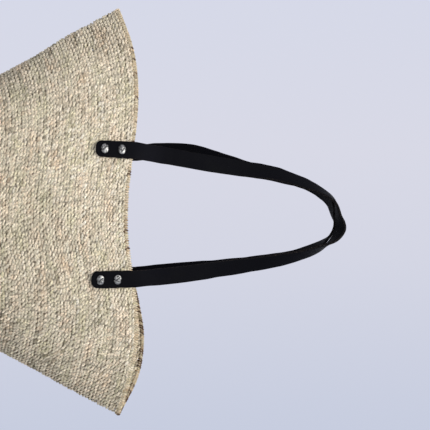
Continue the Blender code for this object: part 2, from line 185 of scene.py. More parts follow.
@dataclass(frozen=True)
class BasketForm:
    """Form of the woven body, the same as the frame's.

    The outline goes from a circle at the floor to a lens with pointed corners at the mouth.
    """

    base_radius: float = 0.093
    corner_run: float = 0.022
    corner_rise: float = 0.019
    mouth_half_width: float = 0.2465
    mouth_half_depth: float = 0.052
    belly_half_depth: float = 0.088
    thickness: float = 0.004
    rim_height: float = 0.2815
    rim_wave: float = 0.020
    hem_height: float = 0.0045
    pointed: float = 0.88
    strand_fold: float = 1.15
    left_fullness: float = 0.0042
    right_fullness: float = 0.0012
    full_from: float = 0.60
    full_by: float = 0.80
    solve_steps: int = 8
    front_rim: tuple = (-0.33, 0.40, 0.66, 0.58, 0.30, 0.05, 0.00, 0.27, 0.60, 0.66, 0.30, -0.30)
    back_rim: tuple = (-0.33, 0.60, 0.96, 0.88, 0.58, 0.27, 0.22, 0.55, 1.04, 1.31, 0.93, -0.30)

    def rim(self, angles: Array) -> Array:
        """Height of the rim's top.

        Args:
            angles: Places round the rim, with the right corner at 0 and the front where the sine is negative.

        Returns:
            One height for each place.
        """
        across = (np.cos(angles) + 1.0) / 2.0
        front = smooth_curve(np.array(self.front_rim), across)
        back = smooth_curve(np.array(self.back_rim), across)
        return self.rim_height + self.rim_wave * np.where(np.sin(angles) < 0.0, front, back)

    def half_width(self, climb: Array) -> Array:
        """Half of the body's width along X at a climb from 0 at the floor to 1 at the rim."""
        return mix(self.base_radius, self.mouth_half_width, climb)

    def half_depth(self, climb: Array) -> Array:
        """Half of the body's depth along Y.

        Args:
            climb: From 0 at the floor to 1 at the rim.

        Returns:
            One half depth for each climb.
        """
        lower = mix(self.base_radius, self.belly_half_depth, climb)
        upper = mix(self.belly_half_depth, self.mouth_half_depth, climb)
        return mix(lower, upper, climb)

    def reach(self, climb: Array, across: Array, inset: Array) -> Array:
        """Half of the body's width at a depth across the weave, which is longer where the mouth folds.

        Args:
            climb: From 0 at the floor to 1 at the rim.
            across: From 0 on the outer face to 1 on the inner one.
            inset: How far the outline is drawn in.

        Returns:
            One half width for each place.
        """
        flare = math.hypot(1.0, (self.mouth_half_width - self.base_radius) / self.rim_height)
        fold = np.hypot(1.0, self.half_width(climb) / (2.0 * self.half_depth(climb)))
        stretch = mix(flare, np.minimum(fold, self.strand_fold), self.pointed * climb**2)
        return self.half_width(climb) - inset - across * self.thickness * stretch

    def fullness(self, climb: Array, cosine: Array) -> Array:
        """How far the upper part of either end stands out past the even flare.

        Args:
            climb: From 0 at the floor to 1 at the rim.
            cosine: Cosine of the place round the body, which is -1 at the left end.

        Returns:
            One distance along X for each place.
        """
        rise = np.clip((np.asarray(climb) - self.full_from) / (self.full_by - self.full_from), 0.0, 1.0)
        size = np.where(cosine < 0.0, self.left_fullness, self.right_fullness)
        return size * rise**2 * (3.0 - 2.0 * rise) * cosine**4 * np.sign(cosine)

    def body(
        self, angles: Array, climb: Array, across: Array, inset: Values = 0.0, lift: Values = 0.0
    ) -> Array:
        """Points in the weave.

        Args:
            angles: Places round the body, with the right corner at 0.
            climb: From 0 at the floor to 1 at the rim.
            across: From 0 on the outer face to 1 on the inner one.
            inset: How far the outline is drawn in.
            lift: Height added at the end.

        Returns:
            One point in each row.
        """
        sine = np.sin(angles)
        power = 1.0 + self.pointed * np.asarray(climb) ** 2
        x = self.reach(climb, across, inset) * np.cos(angles) + self.fullness(climb, np.cos(angles))
        deep = self.half_depth(climb) - inset - across * self.thickness
        y = deep * np.copysign(np.abs(sine) ** power, sine)
        z = climb * self.rim(angles) + lift
        return np.stack(np.broadcast_arrays(x, y, z), axis=-1)

    def corner(self, angles: Array, turn: Array, across: Array) -> Array:
        """Points in the round corner under the wall.

        Args:
            angles: Places round the body.
            turn: From 0 at the base to 1 at the wall.
            across: From 0 on the outer face to 1 on the inner one.

        Returns:
            One point in each row.
        """
        level = self.corner_run * (1.0 - turn)
        upright = self.corner_rise * turn
        slope = np.hypot(level, upright)
        climb = self.corner_rise * turn**2 / self.rim_height
        lift = across * self.thickness * level / slope
        return self.body(angles, climb, across * upright / slope, level * (1.0 - turn), lift)

    def place(self, zone: Zone, share: Array, angles: Array, across: Array) -> Array:
        """Points in any zone of the weave.

        Args:
            zone: The part of the weave.
            share: From 0 at the zone's lower or inner edge to 1 at its upper or outer one.
            angles: Places round the body.
            across: From 0 on the outer face to 1 on the inner one.

        Returns:
            One point in each row.
        """
        if zone is Zone.BASE:
            radius = (self.base_radius - self.corner_run) * share
            parts = radius * np.cos(angles), radius * np.sin(angles), self.thickness * across
            return np.stack(np.broadcast_arrays(*parts), axis=-1)
        if zone is Zone.CORNER:
            return self.corner(angles, np.clip(share, 0.0, 1.0), across)
        climb = mix(self.corner_rise / self.rim_height, 1.0 - self.hem_height / self.rim(angles), share)
        return self.body(angles, climb, across)

    def wall_point(self, x: Array, z: Array, side: Side, across: float) -> Array:
        """Points on the front or back wall at places seen from the front.

        Args:
            x: Places along X.
            z: Heights.
            side: The front or back wall.
            across: From 0 on the outer face to 1 on the inner one.

        Returns:
            One point in each row.
        """
        climb = z / self.rim_height
        angles = np.full_like(x, side.value * math.pi / 2.0)
        for _ in range(self.solve_steps):
            angles = side.value * np.arccos(x / self.reach(climb, across, 0.0))
            climb = z / self.rim(angles)
        return self.body(angles, climb, across)


@dataclass
class Stations:
    """Places along a strap, each with its direction of travel, the way its face looks and half its width."""

    place: Array
    along: Array
    facing: Array
    half_width: Array

    def squared(self) -> "Stations":
        """The same stations with each facing square to its direction of travel.

        Returns:
            The new stations.
        """
        along = unit(self.along)
        facing = self.facing - along * np.sum(self.facing * along, axis=1, keepdims=True)
        return replace(self, along=along, facing=unit(facing))

    def raised(self, height: float) -> "Stations":
        """The same stations moved out along their facing."""
        return replace(self, place=self.place + self.facing * height)

    def reversed(self) -> "Stations":
        """The same stations travelled the other way."""
        return Stations(self.place[::-1], -self.along[::-1], self.facing[::-1], self.half_width[::-1])

    def followed_by(self, other: "Stations") -> "Stations":
        """These stations and then another run of them.

        Args:
            other: The other run.

        Returns:
            Both runs as one.
        """
        return Stations(
            np.concatenate([self.place, other.place]),
            np.concatenate([self.along, other.along]),
            np.concatenate([self.facing, other.facing]),
            np.concatenate([self.half_width, other.half_width]),
        )


# Nodes and materials


class NodeDesk:
    """Adds and links the nodes of one tree, and hands back their sockets."""

    colour_inputs: tuple = (0, 6, 7)
    colour_output: int = 2

    def __init__(self, tree: NodeTree) -> None:
        """Takes the tree to work on."""
        self.tree = tree

    def add(self, kind: str, **settings: object) -> Node:
        """New node in the tree.

        Args:
            kind: The node's type.
            settings: Plain settings of the node by name.

        Returns:
            The node.
        """
        node = self.tree.nodes.new(kind)
        for name, value in settings.items():
            setattr(node, name, value)
        return node

    def feed(self, socket: NodeSocket, value: object) -> None:
        """Links a socket to an input, or sets a plain value on it.

        Args:
            socket: The input.
            value: A socket, or the plain value.
        """
        if isinstance(value, NodeSocket):
            self.tree.links.new(value, socket)
        else:
            socket.default_value = value

    def math(self, operation: str, first: object, second: object = 0.0) -> NodeSocket:
        """Result of a mathematical operation.

        Args:
            operation: The operation's name.
            first: First value or socket.
            second: Second value or socket, for an operation that has one.

        Returns:
            The result's socket.
        """
        node = self.add("ShaderNodeMath", operation=operation)
        self.feed(node.inputs[0], first)
        self.feed(node.inputs[1], second)
        return node.outputs[0]

    def fit(self, value: object, low: float, high: float, to_low: float, to_high: float) -> NodeSocket:
        """Value moved from one range to another and held inside it.

        Args:
            value: The value or socket.
            low: Start of the range that it comes from.
            high: End of that range.
            to_low: Start of the range that it goes to.
            to_high: End of that range.

        Returns:
            The result's socket.
        """
        node = self.add("ShaderNodeMapRange")
        for socket, item in zip(node.inputs, (value, low, high, to_low, to_high)):
            self.feed(socket, item)
        return node.outputs[0]

    def blend(self, share: object, first: object, second: object, way: str = "MIX") -> NodeSocket:
        """Colour mixed from two.

        Args:
            share: How far the second colour has its way.
            first: First colour or socket.
            second: Second colour or socket.
            way: The way to mix them.

        Returns:
            The result's socket.
        """
        node = self.add("ShaderNodeMix", data_type="RGBA", blend_type=way)
        for index, value in zip(self.colour_inputs, (share, first, second)):
            self.feed(node.inputs[index], value)
        return node.outputs[self.colour_output]

    def dimmed(self, colour: object, level: object) -> NodeSocket:
        """Colour multiplied by a level."""
        return self.blend(1.0, colour, self.vector(level, level, level), "MULTIPLY")

    def ramp(self, value: object, stops: tuple) -> NodeSocket:
        """Colour read from a ramp.

        Args:
            value: Place on the ramp, from 0 to 1.
            stops: The place and colour of each stop.

        Returns:
            The colour's socket.
        """
        node = self.add("ShaderNodeValToRGB")
        elements = node.color_ramp.elements
        while len(elements) < len(stops):
            elements.new(1.0)
        for element, (place, colour) in zip(elements, stops):
            element.position = place
            element.color = colour
        self.feed(node.inputs[0], value)
        return node.outputs[0]

    def noise(self, vector: object, scale: float, detail: float = 3.0, rough: float = 0.5) -> NodeSocket:
        """Strength of a cloudy noise.

        Args:
            vector: Coordinates to read it at.
            scale: Number of clouds in one unit.
            detail: Number of finer layers.
            rough: Strength of each finer layer.

        Returns:
            The strength's socket.
        """
        node = self.add("ShaderNodeTexNoise")
        self.feed(node.inputs["Vector"], vector)
        for name, value in (("Scale", scale), ("Detail", detail), ("Roughness", rough)):
            node.inputs[name].default_value = value
        return node.outputs[0]

    def cells(self, vector: object, scale: object) -> NodeSocket:
        """Distance to the middle of the nearest of many cells.

        Args:
            vector: Coordinates to read it at.
            scale: Number of cells in one unit.

        Returns:
            The distance's socket.
        """
        node = self.add("ShaderNodeTexVoronoi")
        self.feed(node.inputs["Vector"], vector)
        self.feed(node.inputs["Scale"], scale)
        return node.outputs["Distance"]

    def attribute(self, name: str) -> NodeSocket:
        """Vector that a named attribute of the mesh holds."""
        node = self.add("ShaderNodeAttribute", attribute_name=name, attribute_type="GEOMETRY")
        return node.outputs["Vector"]

    def parts(self, vector: object) -> tuple:
        """The three parts of a vector.

        Args:
            vector: The vector's socket.

        Returns:
            The sockets of X, Y and Z.
        """
        node = self.add("ShaderNodeSeparateXYZ")
        self.feed(node.inputs[0], vector)
        return tuple(node.outputs)

    def vector(self, x: object, y: object, z: object) -> NodeSocket:
        """Vector made of three parts.

        Args:
            x: First part.
            y: Second part.
            z: Third part.

        Returns:
            The vector's socket.
        """
        node = self.add("ShaderNodeCombineXYZ")
        for socket, value in zip(node.inputs, (x, y, z)):
            self.feed(socket, value)
        return node.outputs[0]

    def stretched(self, vector: object, scale: tuple) -> NodeSocket:
        """Vector scaled along each axis.

        Args:
            vector: The vector's socket.
            scale: The scale along each axis.

        Returns:
            The result's socket.
        """
        node = self.add("ShaderNodeMapping")
        self.feed(node.inputs["Vector"], vector)
        node.inputs["Scale"].default_value = scale
        return node.outputs[0]

    def object_place(self) -> NodeSocket:
        """Coordinates on the object, in metres."""
        return self.add("ShaderNodeTexCoord").outputs["Object"]

    def bump(self, height: object, distance: float, strength: float = 1.0) -> NodeSocket:
        """Normal tilted by a height.

        Args:
            height: The height in shares of the distance.
            distance: Height in metres at a share of 1.
            strength: Strength of the tilt.

        Returns:
            The normal's socket.
        """
        node = self.add("ShaderNodeBump")
        node.inputs["Strength"].default_value = strength
        node.inputs["Distance"].default_value = distance
        self.feed(node.inputs["Height"], height)
        return node.outputs[0]


class EffectGroup:
    """Shader node group built once and placed in several materials."""

    made: dict = {}
    number: str = "NodeSocketFloat"
    vector: str = "NodeSocketVector"
    colour: str = "NodeSocketColor"
    thread_scale: tuple = (2.4, 9.0, 9.0)
    thread_light: tuple = (0.32, 0.68, 0.68, 1.28)
    patch_scale: tuple = (0.9, 0.8, 0.8)
    patch_light: tuple = (0.3, 0.7, 0.88, 1.12)
    twist_along: float = 21.0
    twist_round: float = 9.0
    ply_light: tuple = (0.0, 0.8, 0.74, 1.08)
    ply_height: float = 0.5
    crease_scale: float = 260.0
    crease_height: float = 0.9
    pore_height: float = 0.55
    pore_light: tuple = (0.0, 0.7, 0.82, 1.12)
    cloud_scale: float = 38.0
    cloud_light: tuple = (0.3, 0.7, 0.78, 1.22)
    cloud_roughness: tuple = (0.3, 0.7, 0.55, 0.72)
    wear_roughness: float = 0.18

    @classmethod
    def start(cls, name: str, inputs: dict, outputs: dict) -> tuple[NodeTree, NodeDesk, Node, Node]:
        """New group with its named sockets.

        Args:
            name: The group's name.
            inputs: Socket types by name, such as NodeSocketFloat.
            outputs: Socket types by name.

        Returns:
            The tree, a desk to work on it, and its input and output nodes.
        """
        tree = bpy.data.node_groups.new(name, "ShaderNodeTree")
        for label, kind in inputs.items():
            tree.interface.new_socket(label, in_out="INPUT", socket_type=kind)
        for label, kind in outputs.items():
            tree.interface.new_socket(label, in_out="OUTPUT", socket_type=kind)
        desk = NodeDesk(tree)
        return tree, desk, desk.add("NodeGroupInput"), desk.add("NodeGroupOutput")

    @classmethod
    def fibre(cls) -> NodeTree:
        """Fibres that run along a strand: streaks of light and dark, and a ridged height.

        Returns:
            The group's tree. It takes Fibre, Colour and Streaks, and gives Colour and Height.
        """
        if "fibre" not in cls.made:
            tree, desk, source, result = cls.start(
                "fibre_grain",
                {"Fibre": cls.vector, "Colour": cls.colour, "Streaks": cls.number},
                {"Colour": cls.colour, "Height": cls.number},
            )
            place = source.outputs["Fibre"]
            threads = desk.noise(desk.stretched(place, cls.thread_scale), 1.0, 4.0, 0.62)
            patches = desk.noise(desk.stretched(place, cls.patch_scale), 1.0, 2.0)
            along, ring, _ = desk.parts(place)
            twist = desk.math("MULTIPLY", along, cls.twist_along)
            twist = desk.math("ADD", twist, desk.math("MULTIPLY", ring, cls.twist_round))
            plies = desk.math("ABSOLUTE", desk.math("SINE", twist))
            light = desk.fit(threads, *cls.thread_light)
            light = desk.math("MULTIPLY", light, desk.fit(patches, *cls.patch_light))
            light = desk.math("MULTIPLY", light, desk.fit(plies, *cls.ply_light))
            change = desk.math("MULTIPLY", desk.math("SUBTRACT", light, 1.0), source.outputs["Streaks"])
            level = desk.math("ADD", 1.0, change)
            height = desk.math("ADD", threads, desk.math("MULTIPLY", plies, cls.ply_height))
            desk.feed(result.inputs["Colour"], desk.dimmed(source.outputs["Colour"], level))
            desk.feed(result.inputs["Height"], height)
            cls.made["fibre"] = tree
        return cls.made["fibre"]

    @classmethod
    def hide(cls) -> NodeTree:
        """Leather: pores and creases in its height, with a tone and a roughness that follow them.

        Returns:
            The group's tree. It takes Vector, Pores and Wear, and gives Tone, Roughness and Height.
        """
        if "hide" not in cls.made:
            tree, desk, source, result = cls.start(
                "leather_grain",
                {"Vector": cls.vector, "Pores": cls.number, "Wear": cls.number},
                {"Tone": cls.number, "Roughness": cls.number, "Height": cls.number},
            )
            place = source.outputs["Vector"]
            pores = desk.cells(place, source.outputs["Pores"])
            creases = desk.noise(place, cls.crease_scale, 5.0, 0.6)
            clouds = desk.noise(place, cls.cloud_scale, 3.0)
            height = desk.math("MULTIPLY", pores, cls.pore_height)
            height = desk.math("ADD", height, desk.math("MULTIPLY", creases, cls.crease_height))
            tone = desk.fit(clouds, *cls.cloud_light)
            tone = desk.math("MULTIPLY", tone, desk.fit(pores, *cls.pore_light))
            wear_and_sheen = desk.math("MULTIPLY", source.outputs["Wear"], cls.wear_roughness)
            rough = desk.math("ADD", desk.fit(clouds, *cls.cloud_roughness), wear_and_sheen)
            for name, value in (("Tone", tone), ("Roughness", rough), ("Height", height)):
                desk.feed(result.inputs[name], value)
            cls.made["hide"] = tree
        return cls.made["hide"]


def new_material(name: str) -> tuple[Material, NodeDesk, Node]:
    """Material with one Principled shader.

    Args:
        name: The material's name.

    Returns:
        The material, a desk to work on its nodes, and its shader.
    """
    material = bpy.data.materials.new(name)
    material.use_nodes = True
    return material, NodeDesk(material.node_tree), material.node_tree.nodes["Principled BSDF"]


@dataclass(frozen=True)
class StrandFinish:
    """Dyed and bleached plant fibre. The attribute yarn holds a strand's tone, hue and painted shade, which
    darkens the colour where strands cross.
    """

    name: str
    tones: tuple
    warm: tuple
    cool: tuple
    streaks: float = 1.0
    fleck_scale: tuple = (4.2, 2.8, 2.8)
    fleck_light: tuple = (0.34, 0.66, 0.72, 1.24)
    painted_pit_shade: tuple = (0.0, 0.9, 1.0, 0.3)
    grain_depth: float = 0.0005
    grain_strength: float = 0.9
    roughness: float = 0.82
    gloss: float = 0.25

    def material(self) -> Material:
        """The finish as a material.

        Returns:
            The material.
        """
        material, desk, shader = new_material(self.name)
        tone, hue, shade = desk.parts(desk.attribute("yarn"))
        place = desk.attribute("fibre")
        base = desk.ramp(tone, self.tones)
        for tint, end in ((self.warm, 1.0), (self.cool, 0.0)):
            share = desk.fit(hue, 0.5, end, 0.0, 1.0)
            base = desk.blend(share, base, desk.blend(1.0, base, tint, "MULTIPLY"))
        fibre = desk.add("ShaderNodeGroup", node_tree=EffectGroup.fibre())
        for name, value in (("Fibre", place), ("Colour", base), ("Streaks", self.streaks)):
            desk.feed(fibre.inputs[name], value)
        flecks = desk.noise(desk.stretched(place, self.fleck_scale), 1.0, 0.5)
        # Painted shade from the yarn's shade, darkest where strands cross, times flecks of grain.
        dim = desk.math("MULTIPLY", desk.fit(shade, *self.painted_pit_shade), desk.fit(flecks, *self.fleck_light))
        normal = desk.bump(fibre.outputs["Height"], self.grain_depth, self.grain_strength)
        desk.feed(shader.inputs["Base Color"], desk.dimmed(fibre.outputs["Colour"], dim))
        desk.feed(shader.inputs["Normal"], normal)
        shader.inputs["Roughness"].default_value = self.roughness
        shader.inputs["Specular IOR Level"].default_value = self.gloss
        return material


@dataclass(frozen=True)
class LeatherFinish:
    """Black vegetable-tanned leather with fine pores and paler raw edges."""

    name: str
    face: tuple
    edge: tuple
    pores: float = 1900.0
    wear_and_sheen: float = 2.2
    fuzz_scale: float = 900.0
    fuzz: tuple = (0.45, 0.75, 0.0, 0.8)
    grain_depth: float = 0.00022
    grain_strength: float = 0.7
    gloss: float = 0.05

    def material(self) -> Material:
        """The finish as a material. The attribute hide holds how near a raw edge a point is, and a painted
        sheen where the leather bends at the rim.

        Returns:
            The material.
        """
        material, desk, shader = new_material(self.name)
        place = desk.object_place()
        edge, wear, _ = desk.parts(desk.attribute("hide"))
        grain = desk.add("ShaderNodeGroup", node_tree=EffectGroup.hide())
        for name, value in (("Vector", place), ("Pores", self.pores), ("Wear", edge)):
            desk.feed(grain.inputs[name], value)
        fuzz = desk.fit(desk.noise(place, self.fuzz_scale, 2.0), *self.fuzz)
        colour = desk.blend(desk.math("MULTIPLY", edge, fuzz), self.face, self.edge)
        # Painted sheen: the tone is lifted where the leather bends at the rim.
        tone = desk.math("MULTIPLY", grain.outputs["Tone"], desk.fit(wear, 0.0, 1.0, 1.0, self.wear_and_sheen))
        normal = desk.bump(grain.outputs["Height"], self.grain_depth, self.grain_strength)
        desk.feed(shader.inputs["Base Color"], desk.dimmed(colour, tone))
        desk.feed(shader.inputs["Roughness"], grain.outputs["Roughness"])
        desk.feed(shader.inputs["Normal"], normal)
        shader.inputs["Specular IOR Level"].default_value = self.gloss
        return material


@dataclass(frozen=True)
class NickelFinish:
    """Nickel plate over hammered brass, tarnished in its dents, with painted shade along the cap's two sides.
    """

    name: str = "hammered_nickel"
    bright: tuple = linear(143, 142, 138)
    tarnish_and_shade_colour: tuple = linear(34, 33, 33)
    spot_scale: float = 1400.0
    spots: tuple = (0.5, 0.72, 0.0, 0.45)
    roughness: tuple = (0.30, 0.62)
    scratch_scale: tuple = (5200.0, 600.0, 600.0)
    scratch_depth: float = 0.00006
    scratch_strength: float = 0.6

    def material(self) -> Material:
        """The finish as a material. The attribute dent holds how deep a point lies in a dent.

        Returns:
            The material.
        """
        material, desk, shader = new_material(self.name)
        place = desk.object_place()
        depth, _, _ = desk.parts(desk.attribute("dent"))
        spots = desk.noise(place, self.spot_scale, 4.0, 0.6)
        # Darker deep in a dent: tarnish, and painted shade along the cap's two sides.
        tarnish_and_shade = desk.math("ADD", desk.fit(spots, *self.spots), depth)
        tarnish_and_shade = desk.fit(tarnish_and_shade, 0.0, 1.0, 0.0, 1.0)
        scratches = desk.noise(desk.stretched(place, self.scratch_scale), 1.0, 2.0)
        normal = desk.bump(scratches, self.scratch_depth, self.scratch_strength)
        desk.feed(shader.inputs["Base Color"], desk.blend(tarnish_and_shade, self.bright, self.tarnish_and_shade_colour))
        desk.feed(shader.inputs["Roughness"], desk.fit(tarnish_and_shade, 0.0, 1.0, *self.roughness))
        desk.feed(shader.inputs["Normal"], normal)
        shader.inputs["Metallic"].default_value = 1.0
        return material


# Mesh tools


def placed(name: str, data: bpy.types.ID) -> Object:
    """Object in the scene that shows some data, with its own origin at the world's.

    Args:
        name: The object's name.
        data: The mesh, curve, lamp or camera.

    Returns:
        The object.
    """
    thing = bpy.data.objects.new(name, data)
    bpy.context.scene.collection.objects.link(thing)
    return thing


def mesh_from(bm: BMesh, name: str) -> Mesh:
    """Mesh made of a bmesh, which is freed.

    Args:
        bm: The bmesh.
        name: The mesh's name.

    Returns:
        The mesh.
    """
    mesh = bpy.data.meshes.new(name)
    bm.to_mesh(mesh)
    bm.free()
    return mesh


def finished_object(name: str, mesh: Mesh, material: Material) -> Object:
    """Object that shows a mesh in one material, shaded smooth.

    Args:
        name: The object's name.
        mesh: Its mesh.
        material: Its material.

    Returns:
        The object.
    """
    mesh.materials.append(material)
    mesh.shade_smooth()
    return placed(name, mesh)


def put_vectors(mesh: Mesh, name: str, values: Array) -> None:
    """Stores one vector for each vertex as a named attribute."""
    attribute = mesh.attributes.new(name, "FLOAT_VECTOR", "POINT")
    attribute.data.foreach_set("vector", values.astype(np.float32).ravel())


@dataclass
class Strand:
    """One fibre strand: its route, its radii, and a tone, hue and painted shade for each of its points.

    A strand that is pressed flat has its facing, the way that its flat side looks, at each point, and how thin
    and how wide it is against the round strand.
    """

    points: Array
    radii: Array
    yarn: Array
    closed: bool = True
    facing: Array | None = None
    thin: float = 1.0
    wide: float = 1.0


@dataclass
class StrandMesh:
    """Turns many strands into one mesh, with the attributes that their finish reads.

    Each strand has the same number of sides, which is even and at least 4. Its fibre coordinates count its
    length in units of so many millimetres, go round it on a small ring, and shift from strand to strand.
    """

    sides: int
    strands: list[Strand]
    unit_length: float = 6.0
    ring_radius: float = 0.35
    shift_along: float = 17.3
    shift_across: float = 3.1

    def curve(self) -> Object:
        """Curve with one poly spline for each strand.

        Returns:
            The curve's object.
        """
        data = bpy.data.curves.new("strands", "CURVE")
        data.dimensions = "3D"
        data.bevel_depth = 1.0
        data.bevel_resolution = self.sides // 2 - 2
        for strand in self.strands:
            spline = data.splines.new("POLY")
            spline.points.add(len(strand.points) - 1)
            places = np.concatenate([strand.points, np.ones((len(strand.points), 1))], axis=1)
            spline.points.foreach_set("co", places.astype(np.float32).ravel())
            spline.points.foreach_set("radius", strand.radii.astype(np.float32))
            spline.use_cyclic_u = strand.closed
        return placed("strands", data)

    def mesh(self, name: str) -> Mesh:
        """The strands' tubes as one mesh.

        Args:
            name: The mesh's name.

        Returns:
            The mesh, with the attributes yarn and fibre.
        """
        helper = self.curve()
        graph = bpy.context.evaluated_depsgraph_get()
        mesh = bpy.data.meshes.new_from_object(helper.evaluated_get(graph))
        mesh.name = name
        data = helper.data
        bpy.data.objects.remove(helper)
        bpy.data.curves.remove(data)
        self.press(mesh)
        self.close_ends(mesh)
        self.put_attributes(mesh)
        return mesh

    def press(self, mesh: Mesh) -> None:
        """Presses the round tubes of the flat strands: thinner along their facing and wider across it.

        Args:
            mesh: The mesh of all the tubes.
        """
        places = np.empty(len(mesh.vertices) * 3, np.float32)
        mesh.vertices.foreach_get("co", places)
        places = places.reshape(-1, 3)
        start = 0
        for strand in self.strands:
            size = len(strand.points) * self.sides
            if strand.facing is not None:
                part = slice(start, start + size)
                middle = np.repeat(strand.points, self.sides, axis=0)
                facing = np.repeat(strand.facing, self.sides, axis=0)
                offset = places[part] - middle
                height = np.sum(offset * facing, axis=1, keepdims=True) * facing
                places[part] = middle + (offset - height) * strand.wide + height * strand.thin
            start += size
        mesh.vertices.foreach_set("co", places.ravel())

    def close_ends(self, mesh: Mesh) -> None:
        """Caps the ends of the strands that aren't closed rounds.

        Args:
            mesh: The mesh of all the tubes.
        """
        if all(strand.closed for strand in self.strands):
            return
        bm = bmesh.new()
        bm.from_mesh(mesh)
        rims = [edge for edge in bm.edges if edge.is_boundary]
        bmesh.ops.holes_fill(bm, edges=rims, sides=self.sides)
        bm.to_mesh(mesh)
        bm.free()

    def put_attributes(self, mesh: Mesh) -> None:
        """Writes each vertex's yarn, and its place along and round its strand.

        Args:
            mesh: The mesh of all the tubes.
        """
        yarn = [np.repeat(strand.yarn, self.sides, axis=0) for strand in self.strands]
        fibre = [self.fibre_places(strand, number) for number, strand in enumerate(self.strands)]
        needed = sum(len(part) for part in yarn)
        if needed != len(mesh.vertices):
            raise ValueError(f"{mesh.name}: {len(mesh.vertices)} vertices, but {needed} were planned")
        put_vectors(mesh, "yarn", np.concatenate(yarn))
        put_vectors(mesh, "fibre", np.concatenate(fibre))

    def fibre_places(self, strand: Strand, number: int) -> Array:
        """Coordinates that follow a strand.

        Args:
            strand: The strand.
            number: Its number among the strands, so that no two have the same grain.

        Returns:
            For each vertex its length along the strand, and its place on a small ring round it.
        """
        run = run_along(strand.points) * MM_IN_METRE / self.unit_length
        turn = TURN * np.arange(self.sides) / self.sides
        along = np.repeat(run + number * self.shift_along, self.sides)
        ring = np.tile(np.stack([np.cos(turn), np.sin(turn)], axis=1) * self.ring_radius, (len(run), 1))
        return np.column_stack([along, ring + number * self.shift_across])


# Twined weave


@dataclass(frozen=True)
class Course:
    """One round of twining: its zone, its place there, the step to the next course and its stitches."""

    zone: Zone
    share: float
    step: float
    stitches: int
    number: int


@dataclass(frozen=True)
class HandTwist:
    """Unevenness of twining by hand.

    A wave round the basket has its cycles, its shift with the level and its start. A wave of the ribs has its
    cycles in one stitch, its size in stitches and its shift from course to course.
    """

    stitch_jitter: float = 0.13
    course_slip: float = 0.24
    courses_in_level: float = 9.0
    slow_waves: tuple = ((3.0, 1.3, 0.0), (7.0, -2.1, 1.0))
    slow_size: float = 0.06
    fast_waves: tuple = ((19.0, 3.7, 2.0),)
    fast_size: float = 0.05
    own_cycles: tuple = (11.0, 23.0, 41.0)
    own_size: float = 0.065
    rib_waves: tuple = ((0.05, 0.35, 0.21), (0.11, 0.22, -0.16), (0.21, 0.15, 0.30), (0.31, 0.10, -0.37))
    rib_wave_gap: float = 1.7


@dataclass(frozen=True)
class FibreVariety:
    """How the strands' fibre varies: its spliced lengths, and its tone, hue and painted shade, each from 0 to
    1.
    """

    radius_spread: float = 0.09
    splice_range: tuple = (0.008, 0.050)
    splice_planned: float = 0.018
    fewest_splices: int = 4
    tone_odds: tuple = (7.0, 4.0)
    stitch_tone: float = 0.03
    hue_spread: float = 0.14
    painted_pit_odds: tuple = (0.9, 1.1)
    painted_pit_power: float = 2.2
    batch_waves: tuple = ((5, 0.17, 0.3), (9, -0.26, 1.9), (14, 0.41, 4.0), (23, -0.55, 2.2))
    batch_size: float = 0.07
    band_size: float = 0.12
    band_step: float = 0.75
    band_bend: float = 1.2
    band_waves: tuple = ((2.0, 0.0, 0.6),)
    # Painted shade toward the two ends and the foot: its strength, the reach along X where it is full, and the
    # height and drop of its rise at the foot.
    falloff_shade: float = 0.20
    falloff_end: float = 0.20
    falloff_from: float = 0.23
    falloff_drop: float = 0.10
    rib_tones: tuple = (0.15, 0.5)
    rib_hue: float = 0.5
    # Painted shade on the ribs, which darkens them where they lie deep in the weave.
    rib_painted_shade: float = 0.45


